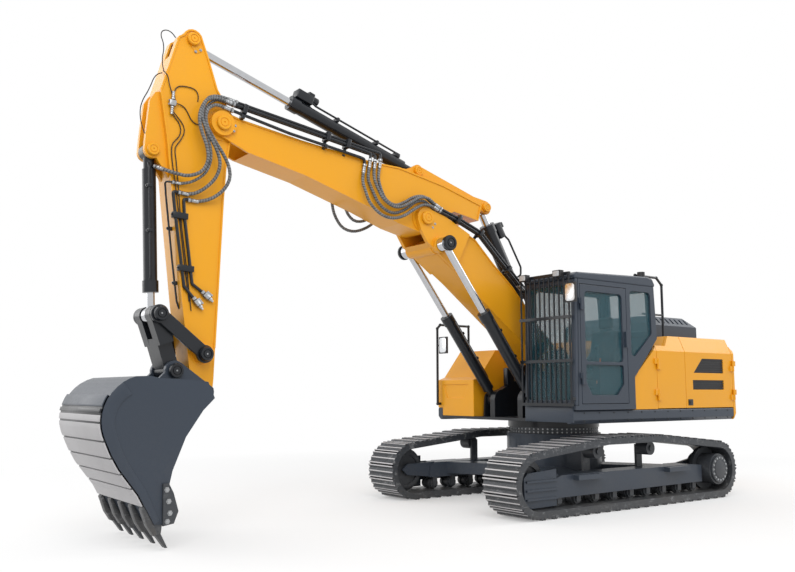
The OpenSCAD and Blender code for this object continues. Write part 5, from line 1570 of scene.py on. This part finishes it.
# Blocks of the seat's frame: middle from the seat's foot, size and rounding
SEAT_BLOCKS = (
    ((0.0, 0.0, 0.050), (0.400, 0.360, 0.100), 0.012),
    *(((0.0, 0.0, rise), (0.340, 0.300, 0.048), 0.014) for rise in (0.125, 0.175, 0.225)),
    ((0.010, 0.0, 0.298), (0.460, 0.440, 0.100), 0.020),
    *(((-0.200, y, 0.420), (0.100, 0.024, 0.220), 0.010) for y in (-0.235, 0.235)),
)
# The headrest's two stays, from the seat's foot
SEAT_STAYS = tuple(((-0.280, y, 1.000), (-0.300, y, 1.140)) for y in (-0.055, 0.055))
STAY_DIAMETER = 0.016
# Cushions: name, size, middle from the seat's foot, and lean
CUSHIONS = (
    ("seat_cushion", (0.480, 0.470, 0.110), (0.015, 0.0, 0.400), 0.0),
    ("seat_back", (0.110, 0.450, 0.590), (-0.228, 0.0, 0.775), -0.17),
    ("seat_headrest", (0.080, 0.240, 0.160), (-0.302, 0.0, 1.170), -0.06),
)


def crowned(size, corner, voxel=0.008):
    """A stuffed cushion: a rounded block in cloth, blown up from inside and held to a small rise."""
    cushion = block(size, corner, 4)
    only(cushion)
    remesh = cushion.modifiers.new("Cloth grid", "REMESH")
    remesh.mode = "VOXEL"
    remesh.voxel_size = voxel
    bpy.ops.object.modifier_apply(modifier=remesh.name)
    start = [vertex.co.copy() for vertex in cushion.data.vertices]
    cloth = cushion.modifiers.new("Stuffing", "CLOTH")
    cloth.settings.use_pressure = True
    cloth.settings.uniform_pressure_force = 4.0
    cloth.settings.effector_weights.gravity = 0.0
    cloth.settings.quality = 4
    scene = bpy.context.scene
    for step in range(1, CUSHION_FRAMES + 1):
        scene.frame_set(step)
    bpy.ops.object.modifier_apply(modifier=cloth.name)
    scene.frame_set(1)
    for vertex, before in zip(cushion.data.vertices, start):
        move = vertex.co - before
        if move.length > CUSHION_RISE:
            vertex.co = before + CUSHION_RISE * move.normalized()
    smooth = cushion.modifiers.new("Smooth", "SUBSURF")
    smooth.levels = 1
    smooth.render_levels = 1
    bpy.ops.object.modifier_apply(modifier=smooth.name)
    bpy.ops.object.shade_smooth()
    return cushion


class EXCAVATOR_OT_seat(bpy.types.Operator):
    """Operator's seat: a suspension foot, and a padded cushion, back and headrest"""

    bl_idname = "excavator.seat"
    bl_label = "Upholster the seat"

    def execute(self, context):
        pieces = [block_at(SEAT_MIDDLE + Vector(middle), size, bevel) for middle, size, bevel in SEAT_BLOCKS]
        for stay in SEAT_STAYS:
            pieces.append(tube([SEAT_MIDDLE + Vector(end) for end in stay], STAY_DIAMETER))
        seat_frame = settle(joined(pieces), "seat_frame", "upper", "black_plastic")
        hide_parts("seat")
        for name, size, middle, lean in CUSHIONS:
            place = Matrix.Translation(SEAT_MIDDLE + Vector(middle)) @ Matrix.Rotation(lean, 4, "Y")
            cushion = settle(placed(crowned(size, CUSHION_CORNER), place), name, "upper", "seat_cloth")
        return {"FINISHED"}


# Width of the rounding on the frame's edges
EDGE_WIDTHS = {
    0.004: ("track_left", "track_right"),
    0.006: (
        "base_boom", "front_boom", "stick", "bucket", "bucket_teeth", "main_frame", "cab_floor",
        "front_guard",
    ),
    0.008: (
        "side_links", "bucket_link", "cab_door", "cab_fittings", "carbody", "adjust_barrel", "arm_barrel",
    ),
    0.012: (
        "body_panels", "left_front_door", "left_rear_door", "pump_door", "cab_front", "cab_left_frame",
        "cab_rear_wall", "cab_right_wall", "side_sills", "track_frame_left", "track_frame_right",
    ),
    0.020: ("right_tanks", "tool_box", "engine_hood", "cab_roof", "counterweight"),
}


class EXCAVATOR_OT_edges(bpy.types.Operator):
    """Rounds the frame's sharp edges, so that they catch the light"""

    bl_idname = "excavator.edges"
    bl_label = "Round the edges"

    def execute(self, context):
        for width, nodes in EDGE_WIDTHS.items():
            for node in nodes:
                soften(node, width)
        return {"FINISHED"}


class EXCAVATOR_OT_paint(bpy.types.Operator):
    """Paint, steel and glass on every solid of the frame"""

    bl_idname = "excavator.paint"
    bl_label = "Paint the frame"

    def execute(self, context):
        make_materials()
        for name, obj in NODES.items():
            dress(obj, NODE_FINISH.get(name, SLOT_OF[name]))
        return {"FINISHED"}


# Soft lights: name, place, aim, size, and power as a share of the key light's
LIGHTS = (
    ("Key", (9.0, 9.0, 11.0), (1.5, 0.0, 1.8), 9.0, 1.0),
    ("Fill", (11.0, -7.0, 7.0), (2.0, 0.0, 2.0), 9.0, 0.45),
    ("Rim", (-9.0, 4.0, 9.0), (0.0, 0.0, 2.5), 7.0, 0.5),
)
WHITE = (1.0, 1.0, 1.0, 1.0)
SENSOR_WIDTH = 36.0
FLOOR_SIZE = 160.0
FLOOR_Z = -0.002
# Distances from the middle between which the floor fades into the sky
FADE_FROM = 4.5
FADE_TO = 11.0


class EXCAVATOR_OT_stage(bpy.types.Operator):
    """Floor, light and camera"""

    bl_idname = "excavator.stage"
    bl_label = "Set the stage"

    def execute(self, context):
        settings = context.scene.studio_settings
        context.scene.view_settings.view_transform = "Standard"
        floor_and_sky(context)
        for name, place, aim, size, power in LIGHTS:
            soft_light(name, Vector(place), Vector(aim), size, power * settings.key_power)
        bpy.ops.object.camera_add(
            location=settings.camera_place,
            rotation=(math.pi / 2 + settings.camera_rise, 0.0, settings.camera_heading - math.pi / 2),
        )
        camera = context.object
        camera.data.sensor_width = SENSOR_WIDTH
        camera.data.lens = settings.lens
        context.scene.camera = camera
        return {"FINISHED"}


def soft_light(name, place, aim, size, power):
    """A square soft light that points at a place."""
    turn = (aim - place).to_track_quat("-Z", "Y").to_euler()
    bpy.ops.object.light_add(type="AREA", location=place, rotation=turn)
    lamp = bpy.context.object
    lamp.name = name
    lamp.data.size = size
    lamp.data.energy = power


def seen_by_eye(tree):
    """A share that is 1 for rays that show the background itself."""
    path = add_node(tree, "ShaderNodeLightPath")
    seen = math_node(tree, "MAXIMUM", path.outputs["Is Camera Ray"], path.outputs["Is Glossy Ray"])
    return math_node(tree, "MAXIMUM", seen, path.outputs["Is Transmission Ray"])


def floor_and_sky(context):
    """A pale floor under an even white sky."""
    world = bpy.data.worlds.new("Studio")
    context.scene.world = world
    world.use_nodes = True
    tree = world.node_tree
    back = tree.nodes["Background"]
    seen = seen_by_eye(tree)
    back.inputs["Color"].default_value = WHITE
    strength = add_node(tree, "ShaderNodeMapRange", {3: context.scene.studio_settings.sky_strength, 4: 1.0})
    tree.links.new(seen, strength.inputs[0])
    tree.links.new(strength.outputs[0], back.inputs["Strength"])

    bpy.ops.mesh.primitive_plane_add(size=FLOOR_SIZE, location=FLOOR_Z * UP)
    floor = context.object
    floor.name = "Floor"
    floor.data.materials.append(floor_material(opaque(context.scene.paint_colours.floor)))


def floor_material(rgba):
    """A matt floor that takes the shadow near the machine, and fades into the white sky far from it."""
    material, tree, shader = new_material("Studio floor", roughness=0.9)
    shader.inputs["Base Color"].default_value = rgba
    glow = add_node(tree, "ShaderNodeEmission", {"Color": WHITE})
    tree.links.new(ranged(tree, seen_by_eye(tree), 0.0, 1.0, 0.5, 1.0), glow.inputs["Strength"])
    distance = add_node(tree, "ShaderNodeVectorMath", operation="LENGTH")
    tree.links.new(object_place(tree), distance.inputs[0])
    fade = add_node(tree, "ShaderNodeMixShader")
    tree.links.new(ranged(tree, distance.outputs["Value"], FADE_FROM, FADE_TO, 0.3, 1.0), fade.inputs[0])
    tree.links.new(shader.outputs["BSDF"], fade.inputs[1])
    tree.links.new(glow.outputs["Emission"], fade.inputs[2])
    tree.links.new(fade.outputs["Shader"], tree.nodes["Material Output"].inputs["Surface"])
    return material


class EXCAVATOR_PT_panel(bpy.types.Panel):
    """Buttons for the excavator's pieces"""

    bl_label = "Excavator"
    bl_idname = "EXCAVATOR_PT_panel"
    bl_space_type = "VIEW_3D"
    bl_region_type = "UI"
    bl_category = "Excavator"

    def draw(self, context):
        for operator in OPERATORS:
            self.layout.operator(operator.bl_idname)


GROUP_CLASSES = (PaintColours, StudioSettings)
OPERATORS = (
    EXCAVATOR_OT_stage,
    EXCAVATOR_OT_paint,
    EXCAVATOR_OT_pipes,
    EXCAVATOR_OT_hoses,
    EXCAVATOR_OT_pin_caps,
    EXCAVATOR_OT_valves,
    EXCAVATOR_OT_grease_lines,
    EXCAVATOR_OT_bolts,
    EXCAVATOR_OT_grouser_wear,
    EXCAVATOR_OT_bucket_wear,
    EXCAVATOR_OT_cab_trim,
    EXCAVATOR_OT_seat,
    EXCAVATOR_OT_edges,
)


def register():
    """Registers the classes and hangs the settings on the scene."""
    for item in (*GROUP_CLASSES, *OPERATORS, EXCAVATOR_PT_panel):
        bpy.utils.register_class(item)
    bpy.types.Scene.paint_colours = bpy.props.PointerProperty(type=PaintColours)
    bpy.types.Scene.studio_settings = bpy.props.PointerProperty(type=StudioSettings)


def unregister():
    """Takes the classes and the settings away again."""
    del bpy.types.Scene.studio_settings
    del bpy.types.Scene.paint_colours
    for item in reversed((*GROUP_CLASSES, *OPERATORS, EXCAVATOR_PT_panel)):
        bpy.utils.unregister_class(item)


def main():
    """Makes every piece."""
    register()
    bpy.ops.excavator.stage()
    bpy.ops.excavator.paint()
    bpy.ops.excavator.pipes()
    bpy.ops.excavator.hoses()
    bpy.ops.excavator.pin_caps()
    bpy.ops.excavator.valves()
    bpy.ops.excavator.grease_lines()
    bpy.ops.excavator.bolts()
    bpy.ops.excavator.grouser_wear()
    bpy.ops.excavator.bucket_wear()
    bpy.ops.excavator.cab_trim()
    bpy.ops.excavator.seat()
    bpy.ops.excavator.edges()


if __name__ == "__main__":
    main()
